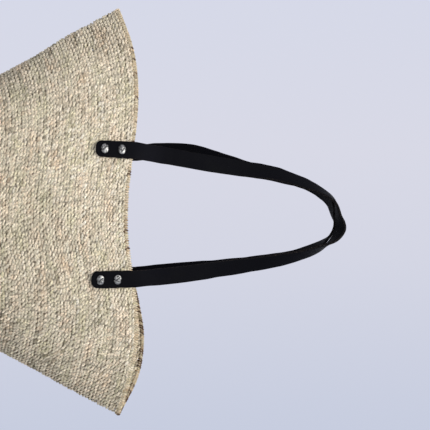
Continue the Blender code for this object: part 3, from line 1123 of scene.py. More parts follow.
@dataclass
class TwinedBody:
    """Wall and base of the basket, twined in courses of two strands round upright ribs."""

    form: BasketForm
    hand: HandTwist = HandTwist()
    fibre: FibreVariety = FibreVariety()
    pitch: float = 0.0036
    pitch_limits: tuple = (0.8, 1.35)
    stitch: float = 0.0057
    samples: int = 5
    sides: int = 6
    strand_share: float = 0.305
    thin: float = 0.57
    wide: float = 1.37
    swing_share: float = 0.27
    depth_share: float = 0.27
    roundness: float = 0.7
    radius_low: float = 0.91
    radius_gain: float = 0.13
    rib_sides: int = 4
    rib_radius: float = 0.0007
    ladder: tuple = (4, 8, 12, 18, 26, 36, 50, 66, 84, 104, 126, 148, 170, 194)
    courses_in_piece: int = 8
    round_points: int = 2881
    corner_points: int = 400
    wall_points: int = 60
    random: np.random.Generator = field(default_factory=lambda: np.random.default_rng(41))

    def even_angles(self, zone: Zone, share: float, fractions: Array) -> tuple[Array, float]:
        """Angles at which a round has the given shares of its length behind it, and that length.

        Args:
            zone: The part of the weave.
            share: The round's place in its zone.
            fractions: Shares of the round's length, from 0 to 1.

        Returns:
            The angles, and the round's whole length.
        """
        angles = np.linspace(0.0, TURN, self.round_points)
        points = self.form.place(zone, np.full_like(angles, share), angles, np.full_like(angles, 0.5))
        run = run_along(points)
        return np.interp(fractions % 1.0, run / run[-1], angles), float(run[-1])

    def corner_shares(self) -> Array:
        """Shares of the round corner at which its courses lie, evenly spaced along it.

        Returns:
            One share for each course.
        """
        turn = np.linspace(0.0, 1.0, self.corner_points)
        run = run_along(self.form.corner(np.full_like(turn, -math.pi / 2.0), turn, np.full_like(turn, 0.5)))
        count = round(run[-1] / self.pitch)
        return np.interp((np.arange(count) + 0.5) / count, run / run[-1], turn)

    def wall_count(self) -> int:
        """Number of courses in the wall.

        Returns:
            A whole number.
        """
        share = np.linspace(0.0, 1.0, self.wall_points)
        front = np.full_like(share, -math.pi / 2.0)
        line = self.form.place(Zone.WALL, share, front, np.full_like(share, 0.5))
        return round(float(run_along(line)[-1]) / self.pitch)

    def stitches_in(self, zone: Zone, share: float) -> int:
        """Number of stitches in a round: the step of the ladder that comes nearest the stitch length."""
        _, length = self.even_angles(zone, share, np.zeros(1))
        return min(self.ladder, key=lambda count: abs(count - length / self.stitch))

    def courses(self) -> list[Course]:
        """All courses, from the middle of the base to the hem.

        Returns:
            The courses in their order.
        """
        base_count = round((self.form.base_radius - self.form.corner_run) / self.pitch)
        corner = self.corner_shares()
        wall = self.wall_count()
        places = [(Zone.BASE, (row + 0.5) / base_count, 1.0 / base_count) for row in range(base_count)]
        places += [(Zone.CORNER, float(share), 1.0 / len(corner)) for share in corner]
        places += [(Zone.WALL, (row + 0.5) / wall, 1.0 / wall) for row in range(wall)]
        return [
            Course(zone, share, step, self.stitches_in(zone, share), number)
            for number, (zone, share, step) in enumerate(places)
        ]

    def rib_places(self, course: Course) -> Array:
        """Shares of the round at which the ribs cross a course, which drift slowly from course to course.

        Args:
            course: The course.

        Returns:
            One share for each rib, and the first one's again.
        """
        index = np.arange(course.stitches + 1)
        drift = np.zeros(len(index))
        for number, (in_stitch, size, turn) in enumerate(self.hand.rib_waves):
            cycles = round(in_stitch * course.stitches)
            start = turn * course.number + number * self.hand.rib_wave_gap
            drift += size * np.sin(TURN * cycles * index / course.stitches + start)
        return (index + drift) / course.stitches

    def stitch_places(self, course: Course) -> Array:
        """Shares of the round for every sample of a course, with each hand-made stitch a little out.

        Args:
            course: The course.

        Returns:
            One share for each sample.
        """
        index = np.arange(course.stitches + 1)
        most = self.hand.course_slip
        slips = self.random.normal(0.0, self.hand.stitch_jitter, course.stitches)
        slips = np.append(slips, slips[0]) + self.random.uniform(-most, most)
        knots = self.rib_places(course) + slips / course.stitches
        steps = (np.arange(course.stitches * self.samples) + 0.5) / self.samples
        return np.interp(steps, index, knots)

    def wander(self, fractions: Array, course: Course) -> Array:
        """Hand-made unevenness of a course in shares of its step: one part shared by its neighbours, one not.

        Args:
            fractions: Shares of the way round of its samples.
            course: The course.

        Returns:
            One value for each sample.
        """
        level = course.number / self.hand.courses_in_level
        slow = waves(fractions, level, self.hand.slow_waves)
        fast = waves(fractions, level, self.hand.fast_waves)
        own = np.zeros(len(fractions))
        for cycles in self.hand.own_cycles:
            own += np.sin(TURN * (cycles * fractions + self.random.uniform()))
        return self.hand.slow_size * slow + self.hand.fast_size * fast + self.hand.own_size * own

    def facing(self, course: Course, angles: Array) -> Array:
        """Way that the outer face looks at each sample of a course.

        Args:
            course: The course.
            angles: Places of its samples round the body.

        Returns:
            One direction for each sample.
        """
        level = np.full(len(angles), course.share)
        inner = self.form.place(course.zone, level, angles, np.ones(len(angles)))
        outer = self.form.place(course.zone, level, angles, np.zeros(len(angles)))
        straight = outer - inner
        along = unit(np.roll(outer, -1, axis=0) - np.roll(outer, 1, axis=0))
        return unit(straight - along * np.sum(straight * along, axis=1, keepdims=True))

    def strands_of(self, course: Course) -> list[Strand]:
        """The two strands of a course, which turn about each other once in two stitches.

        Args:
            course: The course.

        Returns:
            Both strands.
        """
        count = course.stitches * self.samples
        fractions = self.stitch_places(course)
        angles, length = self.even_angles(course.zone, course.share, fractions)
        level = np.full(count, course.share)
        middle = np.full(count, 0.5)
        high = self.form.place(course.zone, level + course.step / 2.0, angles, middle)
        low = self.form.place(course.zone, level - course.step / 2.0, angles, middle)
        least, most = self.pitch_limits
        local = np.clip(np.linalg.norm(high - low, axis=1), self.pitch * least, self.pitch * most)
        facing = self.facing(course, angles)
        wander = self.wander(fractions, course)
        strands = []
        for start in (0.0, math.pi):
            phase = math.pi * (np.arange(count) + 0.5) / self.samples + start
            swing = (self.swing_share * -np.sin(phase) + wander) * course.step
            lift = np.copysign(np.abs(np.cos(phase)) ** self.roundness, np.cos(phase))
            points = self.form.place(course.zone, level + swing, angles, 0.5 - self.depth_share * lift)
            radii = local * self.strand_share * self.plumpness(phase, count)
            yarn = self.yarn_along(phase, length, count)
            # Painted shade toward the ends and the foot.
            yarn[:, 0] = np.clip(yarn[:, 0] - self.painted_falloff(points), 0.0, 1.0)
            yarn[:, 1] = np.clip(yarn[:, 1] + self.batch(fractions, course), 0.0, 1.0)
            strands.append(Strand(points, radii, yarn, facing=facing, thin=self.thin, wide=self.wide))
        return strands

    def batch(self, fractions: Array, course: Course) -> Array:
        """Slow drift of hue that neighbouring courses share, from one batch of fibre to the next.

        Args:
            fractions: Shares of the way round.
            course: The course.

        Returns:
            A change of hue for each share.
        """
        drift = waves(fractions, course.number, self.fibre.batch_waves)
        bend = self.fibre.band_bend * waves(fractions, 0.0, self.fibre.band_waves)
        band = np.sin(self.fibre.band_step * course.number + bend)
        return self.fibre.batch_size * drift + self.fibre.band_size * band

    def painted_falloff(self, points: Array) -> Array:
        """How much darker the fibre is painted toward the two ends and the foot: painted shade where the light
        falls off.

        Args:
            points: Points of a strand.

        Returns:
            A fall in tone for each point.
        """
        ends = np.clip(np.abs(points[:, 0]) / self.fibre.falloff_end, 0.0, 1.0) ** 2
        foot = np.clip((self.fibre.falloff_from - points[:, 2]) / self.fibre.falloff_drop, 0.0, 1.0)
        return self.fibre.falloff_shade * ends + self.fibre.falloff_shade * foot

    def plumpness(self, phase: Array, count: int) -> Array:
        """Share of its mean radius that a strand has: fuller on a face than where the two cross.

        Args:
            phase: How far it has turned about the other strand at each of its points.
            count: Number of its points.

        Returns:
            One share for each point.
        """
        each = self.random.normal(1.0, self.fibre.radius_spread, count // self.samples)
        each = np.repeat(each, self.samples)
        return each * (self.radius_low + self.radius_gain * np.abs(np.cos(phase)) ** self.roundness)

    def yarn_along(self, phase: Array, length: float, count: int) -> Array:
        """Tone, hue and painted shade along a strand, whose fibre changes from one spliced length to the next.

        Args:
            phase: How far it has turned about the other strand at each of its points.
            length: The strand's length.
            count: Number of its points.

        Returns:
            Rows of tone, hue and painted shade, which is darkest where the strand crosses the other one.
        """
        fibre = self.fibre
        splices = max(int(length / fibre.splice_planned), fibre.fewest_splices)
        ends = np.cumsum(self.random.uniform(*fibre.splice_range, splices))
        ends = ends / ends[-1] * length
        index = np.searchsorted(ends, np.arange(count) / count * length)
        index = np.minimum(index, len(ends) - 1)
        tones = self.random.beta(*fibre.tone_odds, len(ends))
        hues = self.random.normal(0.5, fibre.hue_spread, len(ends))
        each = np.repeat(self.random.normal(0.0, fibre.stitch_tone, count // self.samples), self.samples)
        # Painted shade: dark pits where the strand dives past the other one, some darker than others.
        painted_pits = np.repeat(self.random.beta(*fibre.painted_pit_odds, count // self.samples), self.samples)
        shade = painted_pits * (1.0 - np.abs(np.cos(phase))) ** fibre.painted_pit_power
        return np.column_stack([np.clip(tones[index] + each, 0.0, 1.0), hues[index], shade])

    def ribs(self, band: list[Course]) -> list[Strand]:
        """Upright ribs of one band of courses.

        Args:
            band: The courses.

        Returns:
            The ribs.
        """
        count = band[0].stitches
        rows = []
        stops = [(band[0], -0.5), *((course, 0.0) for course in band), (band[-1], 0.5)]
        for course, beyond in stops:
            angles, _ = self.even_angles(course.zone, course.share, self.rib_places(course)[:-1])
            level = np.full(count, course.share + beyond * course.step)
            rows.append(self.form.place(course.zone, level, angles, np.full(count, 0.5)))
        radii = np.full(len(rows), self.rib_radius)
        strands = []
        for line in np.stack(rows, axis=1):
            tone = self.random.uniform(*self.fibre.rib_tones)
            # Each rib has one tone, and painted shade for lying deep in the weave.
            yarn = np.tile([tone, self.fibre.rib_hue, self.fibre.rib_painted_shade], (len(rows), 1))
            strands.append(Strand(line, radii, yarn, closed=False))
        return strands

    def build(self, finish: Material, rib_finish: Material) -> list[Object]:
        """Builds every course and rib, in pieces of a few courses each.

        Args:
            finish: Material of the strands.
            rib_finish: Material of the ribs.

        Returns:
            The pieces.
        """
        courses = self.courses()
        base = [course for course in courses if course.zone is Zone.BASE]
        rest = [course for course in courses if course.zone is not Zone.BASE]
        woven = [("base_courses", base, "woven_base")]
        for number, start in enumerate(range(0, len(rest), self.courses_in_piece)):
            group = rest[start : start + self.courses_in_piece]
            woven.append((f"wall_courses_{number + 1}", group, "woven_wall"))
        pieces = []
        for name, group, node in woven:
            strands = [strand for course in group for strand in self.strands_of(course)]
            pieces.append(self.piece(name, StrandMesh(self.sides, strands), finish, node))
        for name, group, node in (("base_ribs", base, "woven_base"), ("wall_ribs", rest, "woven_wall")):
            strands = [rib for band in self.bands(group) for rib in self.ribs(band)]
            pieces.append(self.piece(name, StrandMesh(self.rib_sides, strands), rib_finish, node))
        return pieces

    def bands(self, courses: list[Course]) -> list[list[Course]]:
        """Bands of courses that have the same number of stitches."""
        counts = dict.fromkeys(course.stitches for course in courses)
        return [[course for course in courses if course.stitches == count] for count in counts]

    def piece(self, name: str, maker: StrandMesh, finish: Material, node: str) -> Object:
        """One piece of the weave, in place of a plain solid or a part of it.

        Args:
            name: The piece's name.
            maker: Its strands.
            finish: Its material.
            node: The plain solid that it replaces.

        Returns:
            The piece.
        """
        piece = finished_object(name, maker.mesh(name), finish)
        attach(piece, "basket")
        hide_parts(node)
        return piece


@dataclass
class WoundHem:
    """Hem along the rim: a cord of turned-over rib ends, whipped round with one strand, brown in places.

    A brown wave has its cycles and its start. A brown place has its wall's sign, its place along X, half its
    length and its strength; those on the back wall are brown fibre and painted shade inside its rim.
    """

    form: BasketForm
    wrap_pitch: float = 0.0030
    wrap_radius: float = 0.00105
    radius_spread: float = 0.09
    bite: float = 0.75
    samples: int = 8
    sides: int = 6
    core_step: float = 0.004
    core_radius: float = 0.00160
    # The cord's yarn: tone, hue and painted shade, which darkens it inside the winding.
    core_yarn: tuple = (0.4, 0.5, 0.35)
    overlap: float = 0.0016
    round_points: int = 2881
    spread: float = 0.2
    brown_waves: tuple = ((7.0, 1.0), (13.0, 2.0), (29.0, 0.5))
    brown_above: float = 1.3
    brown_range: tuple = (0.1, 0.8)
    brown_and_shade_places: tuple = (
        (-1.0, -0.165, 0.070, 0.32), (-1.0, -0.045, 0.007, 0.9), (-1.0, 0.018, 0.007, 0.8),
        (1.0, 0.150, 0.070, 0.75), (1.0, 0.105, 0.030, 1.0),
    )
    random: np.random.Generator = field(default_factory=lambda: np.random.default_rng(7))

    def middle(self) -> tuple[Array, Array]:
        """Angles round the rim, and the length of the hem's middle that lies behind each.

        Returns:
            The angles and the lengths.
        """
        angles = np.linspace(0.0, TURN, self.round_points)
        points = self.at(angles, np.full_like(angles, self.form.hem_height / 2.0), np.full_like(angles, 0.5))
        return angles, run_along(points)

    def length(self) -> float:
        """Length of the hem's middle."""
        return float(self.middle()[1][-1])

    def centre(self, fractions: Array, drop: Array, across: Array) -> Array:
        """Points in the hem.

        Args:
            fractions: Shares of its length round the rim.
            drop: Drops below the rim's top.
            across: From 0 on the outer face to 1 on the inner one.

        Returns:
            One point in each row.
        """
        angles, run = self.middle()
        return self.at(np.interp(fractions, run / run[-1], angles), drop, across)

    def at(self, angles: Array, drop: Array, across: Array) -> Array:
        """Points at a drop below the rim's top."""
        return self.form.body(angles, 1.0 - drop / self.form.rim(angles), across)

    def wrap(self) -> Strand:
        """The strand that is wound round the hem.

        Returns:
            The strand.
        """
        turns = round(self.length() / self.wrap_pitch)
        count = turns * self.samples
        fractions = np.arange(count) / count
        phase = TURN * turns * fractions
        half = self.form.hem_height / 2.0
        reach = half - self.wrap_radius * self.bite
        drop = half + self.overlap / 2.0 - (reach + self.overlap / 2.0) * np.sin(phase)
        across = 0.5 - (0.5 - self.wrap_radius * self.bite / self.form.thickness) * np.cos(phase)
        points = self.centre(fractions, drop, across)
        each = np.repeat(self.random.normal(1.0, self.radius_spread, turns), self.samples)
        tones = self.random.normal(0.5, self.spread, turns) - self.brown_and_shade(points[:: self.samples])
        tones = np.repeat(np.clip(tones, 0.0, 1.0), self.samples)
        hues = np.repeat(np.clip(self.random.normal(0.5, self.spread, turns), 0.0, 1.0), self.samples)
        return Strand(points, self.wrap_radius * each, np.column_stack([tones, hues, np.zeros(count)]))

    def brown_and_shade(self, points: Array) -> Array:
        """How much darker each turn is: brown stretches here and there, with pale turns between, and painted
        shade on the back wall's rim toward the right end.

        Args:
            points: One point on each turn.

        Returns:
            A fall in tone for each turn.
        """
        angles = np.arctan2(points[:, 1], points[:, 0])
        drift = sum(np.sin(cycles * angles + start) for cycles, start in self.brown_waves)
        share = np.clip(drift - self.brown_above, 0.0, 1.0)
        # Front places are brown fibre; the back ones, toward the right end, are brown fibre and painted shade
        # inside the rim.
        for side, place, half_length, strength in self.brown_and_shade_places:
            near = np.exp(-(((points[:, 0] - place) / half_length) ** 4))
            share = np.maximum(share, strength * near * (points[:, 1] * side > 0.0))
        return share * self.random.uniform(*self.brown_range, len(points))

    def core(self) -> Strand:
        """The cord inside the winding.

        Returns:
            The cord.
        """
        count = round(self.length() / self.core_step)
        drop = np.full(count, self.form.hem_height / 2.0 + self.overlap / 2.0)
        points = self.centre(np.arange(count) / count, drop, np.full(count, 0.5))
        return Strand(points, np.full(count, self.core_radius), np.tile(self.core_yarn, (count, 1)))

    def build(self, finish: Material) -> Object:
        """Builds the hem in place of the plain binding.

        Args:
            finish: Its material.

        Returns:
            The piece.
        """
        maker = StrandMesh(self.sides, [self.wrap(), self.core()])
        piece = finished_object("rim_hem", maker.mesh("rim_hem"), finish)
        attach(piece, "basket")
        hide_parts("rim_binding")
        return piece


# Leather straps and rivets


@dataclass(frozen=True)
class StrapForm:
    """Sizes of the leather and the course of its two loops.

    They are the frame's, apart from how far edges, tips and patches are rounded, which is the looks' own. A
    loop's points are shares of the half span and of the rise over the rim.
    """

    width: float = 0.020
    thickness: float = 0.0035
    edge_round: float = 0.0009
    half_span: float = 0.0755
    above_rim: float = 0.2668
    hinge_above_rim: float = 0.0025
    top_turn: float = math.radians(112.0)
    turn_shares: tuple = (
        0.0, 0.005, 0.04, 0.134, 0.27, 0.39, 0.53, 0.66, 0.84, 1.0, 0.87, 0.57, 0.43, 0.26, 0.111, 0.023, 0.0,
    )
    clearance: float = 0.0003
    patch_ease: float = 0.0002
    left_drop: float = 0.0387
    right_drop: float = 0.0438
    left_slant: float = 0.035
    tip_round: float = 0.0076
    patch_round: float = 0.006
    patch_thickness: float = 0.002
    patch_margin: float = 0.011
    rivet_from_tip: float = 0.0100
    rivet_spacing: float = 0.0202
    front_loop: tuple = (
        (-0.972, 0.0), (-0.885, 0.17), (-0.792, 0.34), (-0.712, 0.51), (-0.645, 0.66), (-0.515, 0.79),
        (-0.385, 0.888), (-0.20, 0.968), (0.04, 0.988), (0.25, 1.0), (0.44, 0.965), (0.585, 0.89),
        (0.71, 0.77), (0.805, 0.61), (0.885, 0.42), (0.975, 0.21), (1.028, 0.0),
    )
    back_loop: tuple = (
        (-1.0, 0.0), (-1.035, 0.14), (-1.01, 0.28), (-0.885, 0.41), (-0.73, 0.56), (-0.61, 0.72),
        (-0.465, 0.855), (-0.21, 0.958), (0.04, 0.983), (0.25, 0.992), (0.412, 0.957), (0.59, 0.88),
        (0.735, 0.76), (0.825, 0.60), (0.90, 0.42), (0.955, 0.21), (1.025, 0.0),
    )

    def loop(self, side: Side) -> Array:
        """Centreline shares of the front or back handle."""
        return np.array(self.front_loop if side is Side.FRONT else self.back_loop)


@dataclass
class StrapRoute:
    """Route of the leather on one side of the basket: up the wall, over the top and down again."""

    side: Side
    form: BasketForm
    strap: StrapForm
    probe: float = 0.0005
    slope_step: float = 1.0 / 52.0**2
    tab_steps: int = 22
    loop_steps: int = 220
    tip_points: int = 9
    patch_points: int = 14

    def hinge_x(self, end: End) -> float:
        """Place along X where the handle leaves the rim."""
        loop = self.strap.loop(self.side)
        return float(self.strap.half_span * loop[0 if end is End.LEFT else -1][0])

    def hinge_height(self) -> float:
        """Height at which the handle bends."""
        reach = np.array([self.hinge_x(end) for end in End]) / self.form.mouth_half_width
        return float(self.form.rim(self.side.value * np.arccos(reach)).max()) + self.strap.hinge_above_rim

    def tab_length(self, end: End) -> float:
        """Height of a strap end from its tip to the hinge."""
        drop = self.strap.left_drop if end is End.LEFT else self.strap.right_drop
        return self.hinge_height() - self.form.rim_height + drop

    def on_wall(self, end: End, above_tip: Array, across: float) -> Stations:
        """Stations on the wall under a strap end.

        Args:
            end: The handle's left or right end.
            above_tip: Heights above the strap's tip.
            across: 0 on the wall's outer face and 1 on its inner face.

        Returns:
            Stations that travel up the wall and face out of the basket.
        """
        slant = self.strap.left_slant if end is End.LEFT else 0.0
        below = self.tab_length(end) - above_tip
        x = self.hinge_x(end) - slant * below
        z = self.hinge_height() - below
        place = self.form.wall_point(x, z, self.side, across)
        beside = self.form.wall_point(x + self.probe, z, self.side, across) - place
        above = self.form.wall_point(x, z + self.probe, self.side, across) - place
        facing = np.cross(beside, above) * -self.side.value
        half = np.full(len(x), self.strap.width / 2.0)
        stations = Stations(place, above, facing, half).squared()
        stations.along = stations.along + np.array([slant, 0.0, 0.0])
        return stations.squared()

    def top_of(self, end: End) -> Stations:
        """The one station in the middle of the leather at the top of a strap end."""
        station = self.on_wall(end, np.array([self.tab_length(end)]), 0.0)
        return station.raised(self.strap.clearance + self.strap.thickness / 2.0)

    def loop_place(self, share: Array) -> Array:
        """Points on the handle's centreline at shares of its course.

        Args:
            share: The shares, from 0 at the left end to 1 at the right.

        Returns:
            One point in each row.
        """
        left = self.top_of(End.LEFT)
        right = self.top_of(End.RIGHT)
        rise = self.form.rim_height + self.strap.above_rim - (left.place[0, 2] + right.place[0, 2]) / 2.0
        spot = smooth_curve(self.strap.loop(self.side), share)
        across, climb = spot[:, 0], spot[:, 1]
        start = left.place + (right.place - left.place) * share[:, None]
        left_lean = left.along[0, 1] / left.along[0, 2]
        right_lean = right.along[0, 1] / right.along[0, 2]
        lean = mix(left_lean, right_lean, share) * rise
        over = self.strap.top_turn - math.pi / 2.0
        across_top = self.strap.width * math.cos(over) + self.strap.thickness * math.sin(over)
        top = self.side.value * (across_top / 2.0 + self.strap.clearance) - start[:, 1]
        depth = start[:, 1] + lean * climb + (top - lean) * climb**2
        return np.stack([across * self.strap.half_span, depth, start[:, 2] + climb * rise], axis=1)

    def loop_stations(self) -> Stations:
        """Stations of the handle between its two ends, whose face turns level as it rises to the top.

        Returns:
            The stations.
        """
        share = np.arange(1, self.loop_steps) / self.loop_steps
        along = self.loop_place(share + self.slope_step) - self.loop_place(share - self.slope_step)
        out = np.tile([0.0, float(self.side.value), 0.0], (len(share), 1))
        half = np.full(len(share), self.strap.width / 2.0)
        level = Stations(self.loop_place(share), along, out, half).squared()
        inward = np.cross(level.along, level.facing) * -self.side.value
        wall_turn = math.asin(abs(self.top_of(End.LEFT).facing[0, 0]))
        turning = smooth_curve(np.array(self.strap.turn_shares), share)
        turn = mix(wall_turn, self.strap.top_turn, turning)[:, None]
        level.facing = level.facing * np.cos(turn) - inward * np.sin(turn)
        return level

    def tab_stations(self, end: End) -> Stations:
        """Stations of a strap end from its round tip to just below the hinge.

        Args:
            end: The handle's left or right end.

        Returns:
            The stations.
        """
        tips = self.tip_steps(self.strap.tip_round)
        straight = np.linspace(self.strap.tip_round, self.tab_length(end), self.tab_steps + 1)[1:]
        heights = np.concatenate([tips, straight])
        stations = self.on_wall(end, heights, 0.0).raised(self.strap.clearance + self.strap.thickness / 2.0)
        stations.half_width = self.tip_half_width(heights, self.strap.tip_round)
        return stations

    def tip_steps(self, radius: float) -> Array:
        """Distances from a tip at which its round corners are divided."""
        return radius * (1.0 - np.cos(np.linspace(0.0, math.pi / 2.0, self.tip_points)))

    def tip_half_width(self, from_tip: Array, radius: float) -> Array:
        """Half width of a strap near its tip, whose two corners are rounded."""
        left = np.maximum(radius - from_tip, 0.0)
        return self.strap.width / 2.0 - radius + np.sqrt(radius**2 - left**2)

    def whole(self) -> Stations:
        """Stations of the whole strap, from its left tip to its right one.

        Returns:
            The stations.
        """
        left = self.tab_stations(End.LEFT)
        right = self.tab_stations(End.RIGHT).reversed()
        return left.followed_by(self.loop_stations()).followed_by(right)

    def patch(self, end: End) -> Stations:
        """Stations of the leather patch inside the wall, behind both rivets of a strap end.

        Args:
            end: The handle's left or right end.

        Returns:
            The stations.
        """
        low = self.strap.rivet_from_tip - self.strap.patch_margin
        length = self.strap.rivet_spacing + 2.0 * self.strap.patch_margin
        radius = self.strap.patch_round
        tips = self.tip_steps(radius)
        middle = np.linspace(radius, length - radius, self.patch_points)[1:-1]
        distances = np.concatenate([tips, middle, length - tips[::-1]])
        sunk = self.strap.clearance + self.strap.patch_ease + self.strap.patch_thickness / 2.0
        stations = self.on_wall(end, low + distances, 1.0).raised(-sunk)
        stations.half_width = self.tip_half_width(np.minimum(distances, length - distances), radius)
        return stations

    def rivet_matrix(self, end: End, number: int) -> Matrix:
        """Frame of a rivet: its origin on the leather's outer face, with Z out of the basket.

        Args:
            end: The handle's left or right end.
            number: 0 for the lower rivet and 1 for the upper one.

        Returns:
            The frame.
        """
        above_tip = self.strap.rivet_from_tip + number * self.strap.rivet_spacing
        station = self.on_wall(end, np.array([above_tip]), 0.0)
        outward = Vector(station.facing[0])
        place = Vector(station.place[0]) + outward * (self.strap.clearance + self.strap.thickness)
        sideways = Vector(station.along[0]).cross(outward)
        turn = Matrix((sideways, outward.cross(sideways), outward)).transposed()
        return Matrix.Translation(place) @ turn.to_4x4()


@dataclass
class LeatherWork:
    """Cuts straps and patches out of leather, along their stations."""

    strap: StrapForm
    flat_steps: int = 8
    round_steps: int = 4
    roundest: float = 0.45
    crown: float = 0.06
    edge_jitter: float = 0.00016
    # Painted sheen where the strap bends at the rim: its height, its length and its share at the right end.
    sheen_height: float = 0.305
    sheen_length: float = 0.016
    right_wear: float = 0.4
    random: np.random.Generator = field(default_factory=lambda: np.random.default_rng(23))

    def section(self, thickness: float) -> tuple[Array, Array]:
        """Rounded rectangle across a strap.

        Args:
            thickness: The leather's thickness.

        Returns:
            Rows of (sign of the side, length in from that side, height), and how near each is to a raw edge.
        """
        round_off = min(self.strap.edge_round, thickness * self.roundest)
        high = thickness / 2.0
        rows, edges = [], []
        for turn_side, upper in ((1.0, 1.0), (-1.0, 1.0), (-1.0, -1.0), (1.0, -1.0)):
            turns = np.linspace(0.0, math.pi / 2.0, self.round_steps + 1)
            order = turns if turn_side * upper > 0 else turns[::-1]
            for turn in order:
                inset = round_off * (1.0 - math.cos(turn))
                height = upper * (high - round_off * (1.0 - math.sin(turn)))
                rows.append((turn_side, inset, height))
                edges.append(math.cos(turn))
        return np.array(rows), np.array(edges)

    def rings(self, stations: Stations, thickness: float) -> tuple[list[Array], Array]:
        """Rings of points along a strap.

        Args:
            stations: The strap's stations.
            thickness: The leather's thickness.

        Returns:
            The rings, and how near each point of a ring is to a raw edge.
        """
        rows, edges = self.section(thickness)
        per = self.round_steps + 1
        sides, heights, nearness = [], [], []
        for index, (side, inset, height) in enumerate(rows):
            sides.append((side, inset, 0.0))
            heights.append(height)
            nearness.append(edges[index])
            if (index + 1) % per == 0 and side != rows[(index + 1) % len(rows)][0]:
                for share in np.arange(1, self.flat_steps) / self.flat_steps:
                    sides.append((side * (1.0 - 2.0 * share), inset, 1.0))
                    heights.append(height)
                    nearness.append(0.0)
        share, inset, flat = np.array(sides).T
        sign = np.where(share < 0.0, -1.0, 1.0)
        heights = np.array(heights)
        sideways = np.cross(stations.along, stations.facing)
        halves = stations.half_width + self.edge_wave(len(stations.place))
        rings = []
        for index, (place, half) in enumerate(zip(stations.place, halves)):
            u = sign * np.where(flat > 0.0, np.abs(share) * half, half - inset)
            crown = 1.0 - self.crown * (u / half) ** 2
            outward = stations.facing[index] * (heights * crown)[:, None]
            rings.append(place + sideways[index] * u[:, None] + outward)
        return rings, np.array(nearness)

    def edge_wave(self, count: int) -> Array:
        """Small unevenness of a hand-cut edge."""
        knots = self.random.normal(0.0, self.edge_jitter, max(count // 3, 4))
        return smooth_curve(knots, np.linspace(0.0, 1.0, count))

    def wear(self, stations: Stations) -> Array:
        """Painted sheen along a piece: lighter where it bends at the rim, more at the left end."""
        near = np.exp(-(((stations.place[:, 2] - self.sheen_height) / self.sheen_length) ** 2))
        return near * np.where(stations.place[:, 0] < 0.0, 1.0, self.right_wear)

    def cut(self, name: str, stations: Stations, thickness: float, finish: Material) -> Object:
        """One strap or patch, extruded ring by ring and capped at both ends.

        Args:
            name: The piece's name.
            stations: Its stations.
            thickness: The leather's thickness.
            finish: Its material.

        Returns:
            The piece.
        """
        rings, nearness = self.rings(stations, thickness)
        bm = bmesh.new()
        ring = [bm.verts.new(point) for point in rings[0]]
        edges = [bm.edges.new((vert, ring[index - 1])) for index, vert in enumerate(ring)]
        first = edges
        for points in rings[1:]:
            grown = bmesh.ops.extrude_edge_only(bm, edges=edges)["geom"]
            by_place = {tuple(item.co): item for item in grown if isinstance(item, bmesh.types.BMVert)}
            ring = [by_place[tuple(vert.co)] for vert in ring]
            for vert, point in zip(ring, points):
                vert.co = point
            kept = set(ring)
            lines = [item for item in grown if isinstance(item, bmesh.types.BMEdge)]
            edges = [line for line in lines if kept.issuperset(line.verts)]
        for end in (first, edges):
            bmesh.ops.contextual_create(bm, geom=end)
        bmesh.ops.recalc_face_normals(bm, faces=bm.faces)
        mesh = mesh_from(bm, name)
        near = np.tile(nearness, len(rings))
        wear = np.repeat(self.wear(stations), len(nearness))
        put_vectors(mesh, "hide", np.column_stack([near, wear, near]))
        return finished_object(name, mesh, finish)


@dataclass
class Handle:
    """One handle: its strap, which bends where it leaves the rim, and the patches inside the wall."""

    route: StrapRoute
    work: LeatherWork
    bend_below: float = 0.004
    bend_above: float = 0.025

    @property
    def label(self) -> str:
        """The word front or back."""
        return self.route.side.name.lower()

    def build(self, finish: Material, suede: Material) -> list[Object]:
        """Builds the strap and both patches.

        Args:
            finish: Material of the strap.
            suede: Material of the patches.

        Returns:
            The pieces.
        """
        strap = self.work.cut(f"{self.label}_strap", self.route.whole(), self.route.strap.thickness, finish)
        hinge = self.route.hinge_height()
        middle = float(self.route.top_of(End.LEFT).place[0, 1])
        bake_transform(strap)
        nodes = [f"{self.label}_{name}" for name in ("handle_strap", "left_tab", "right_tab")]
        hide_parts(*nodes)
        pieces = [strap]
        for side in End:
            name = f"{self.label}_{side.name.lower()}"
            stations = self.route.patch(side)
            patch = self.work.cut(f"{name}_backing", stations, self.route.strap.patch_thickness, suede)
            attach(patch, "basket")
            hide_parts(f"{name}_patch")
            pieces.append(patch)
        return pieces


@dataclass(frozen=True)
class HammerMarks:
    """Dents in a cap: round ones anywhere, ones along its two sides that darken them with painted shade, and
    one long slanted one.

    Places, slips, reaches and the long one's half length are shares of the cap's radius. Radii, depths and the
    offset are in metres. Two numbers together are the least and the most of a value.
    """

    round_count: int = 7
    round_area: tuple = (0.02, 0.85)
    round_radius: tuple = (0.0011, 0.0019)
    round_depth: tuple = (0.00025, 0.00055)
    shaded_side_depths: tuple = ((1.0, 0.00062), (-1.0, 0.00045))
    side_places: tuple = (-0.55, 0.0, 0.5)
    side_slip: tuple = (-0.15, 0.15)
    side_reach: tuple = (0.88, 1.0)
    side_radius: tuple = (0.0018, 0.0024)
    side_strength: tuple = (0.9, 1.2)
    long_turn: tuple = (2.1, 2.6)
    long_offset: tuple = (-0.0012, 0.0012)
    long_half: float = 0.6
    long_points: int = 9
    long_radius: float = 0.0011
    long_depth: float = 0.00046
    fall: float = 1.5
    edge_relief: float = 0.5
    darkest_depth: float = 0.0005


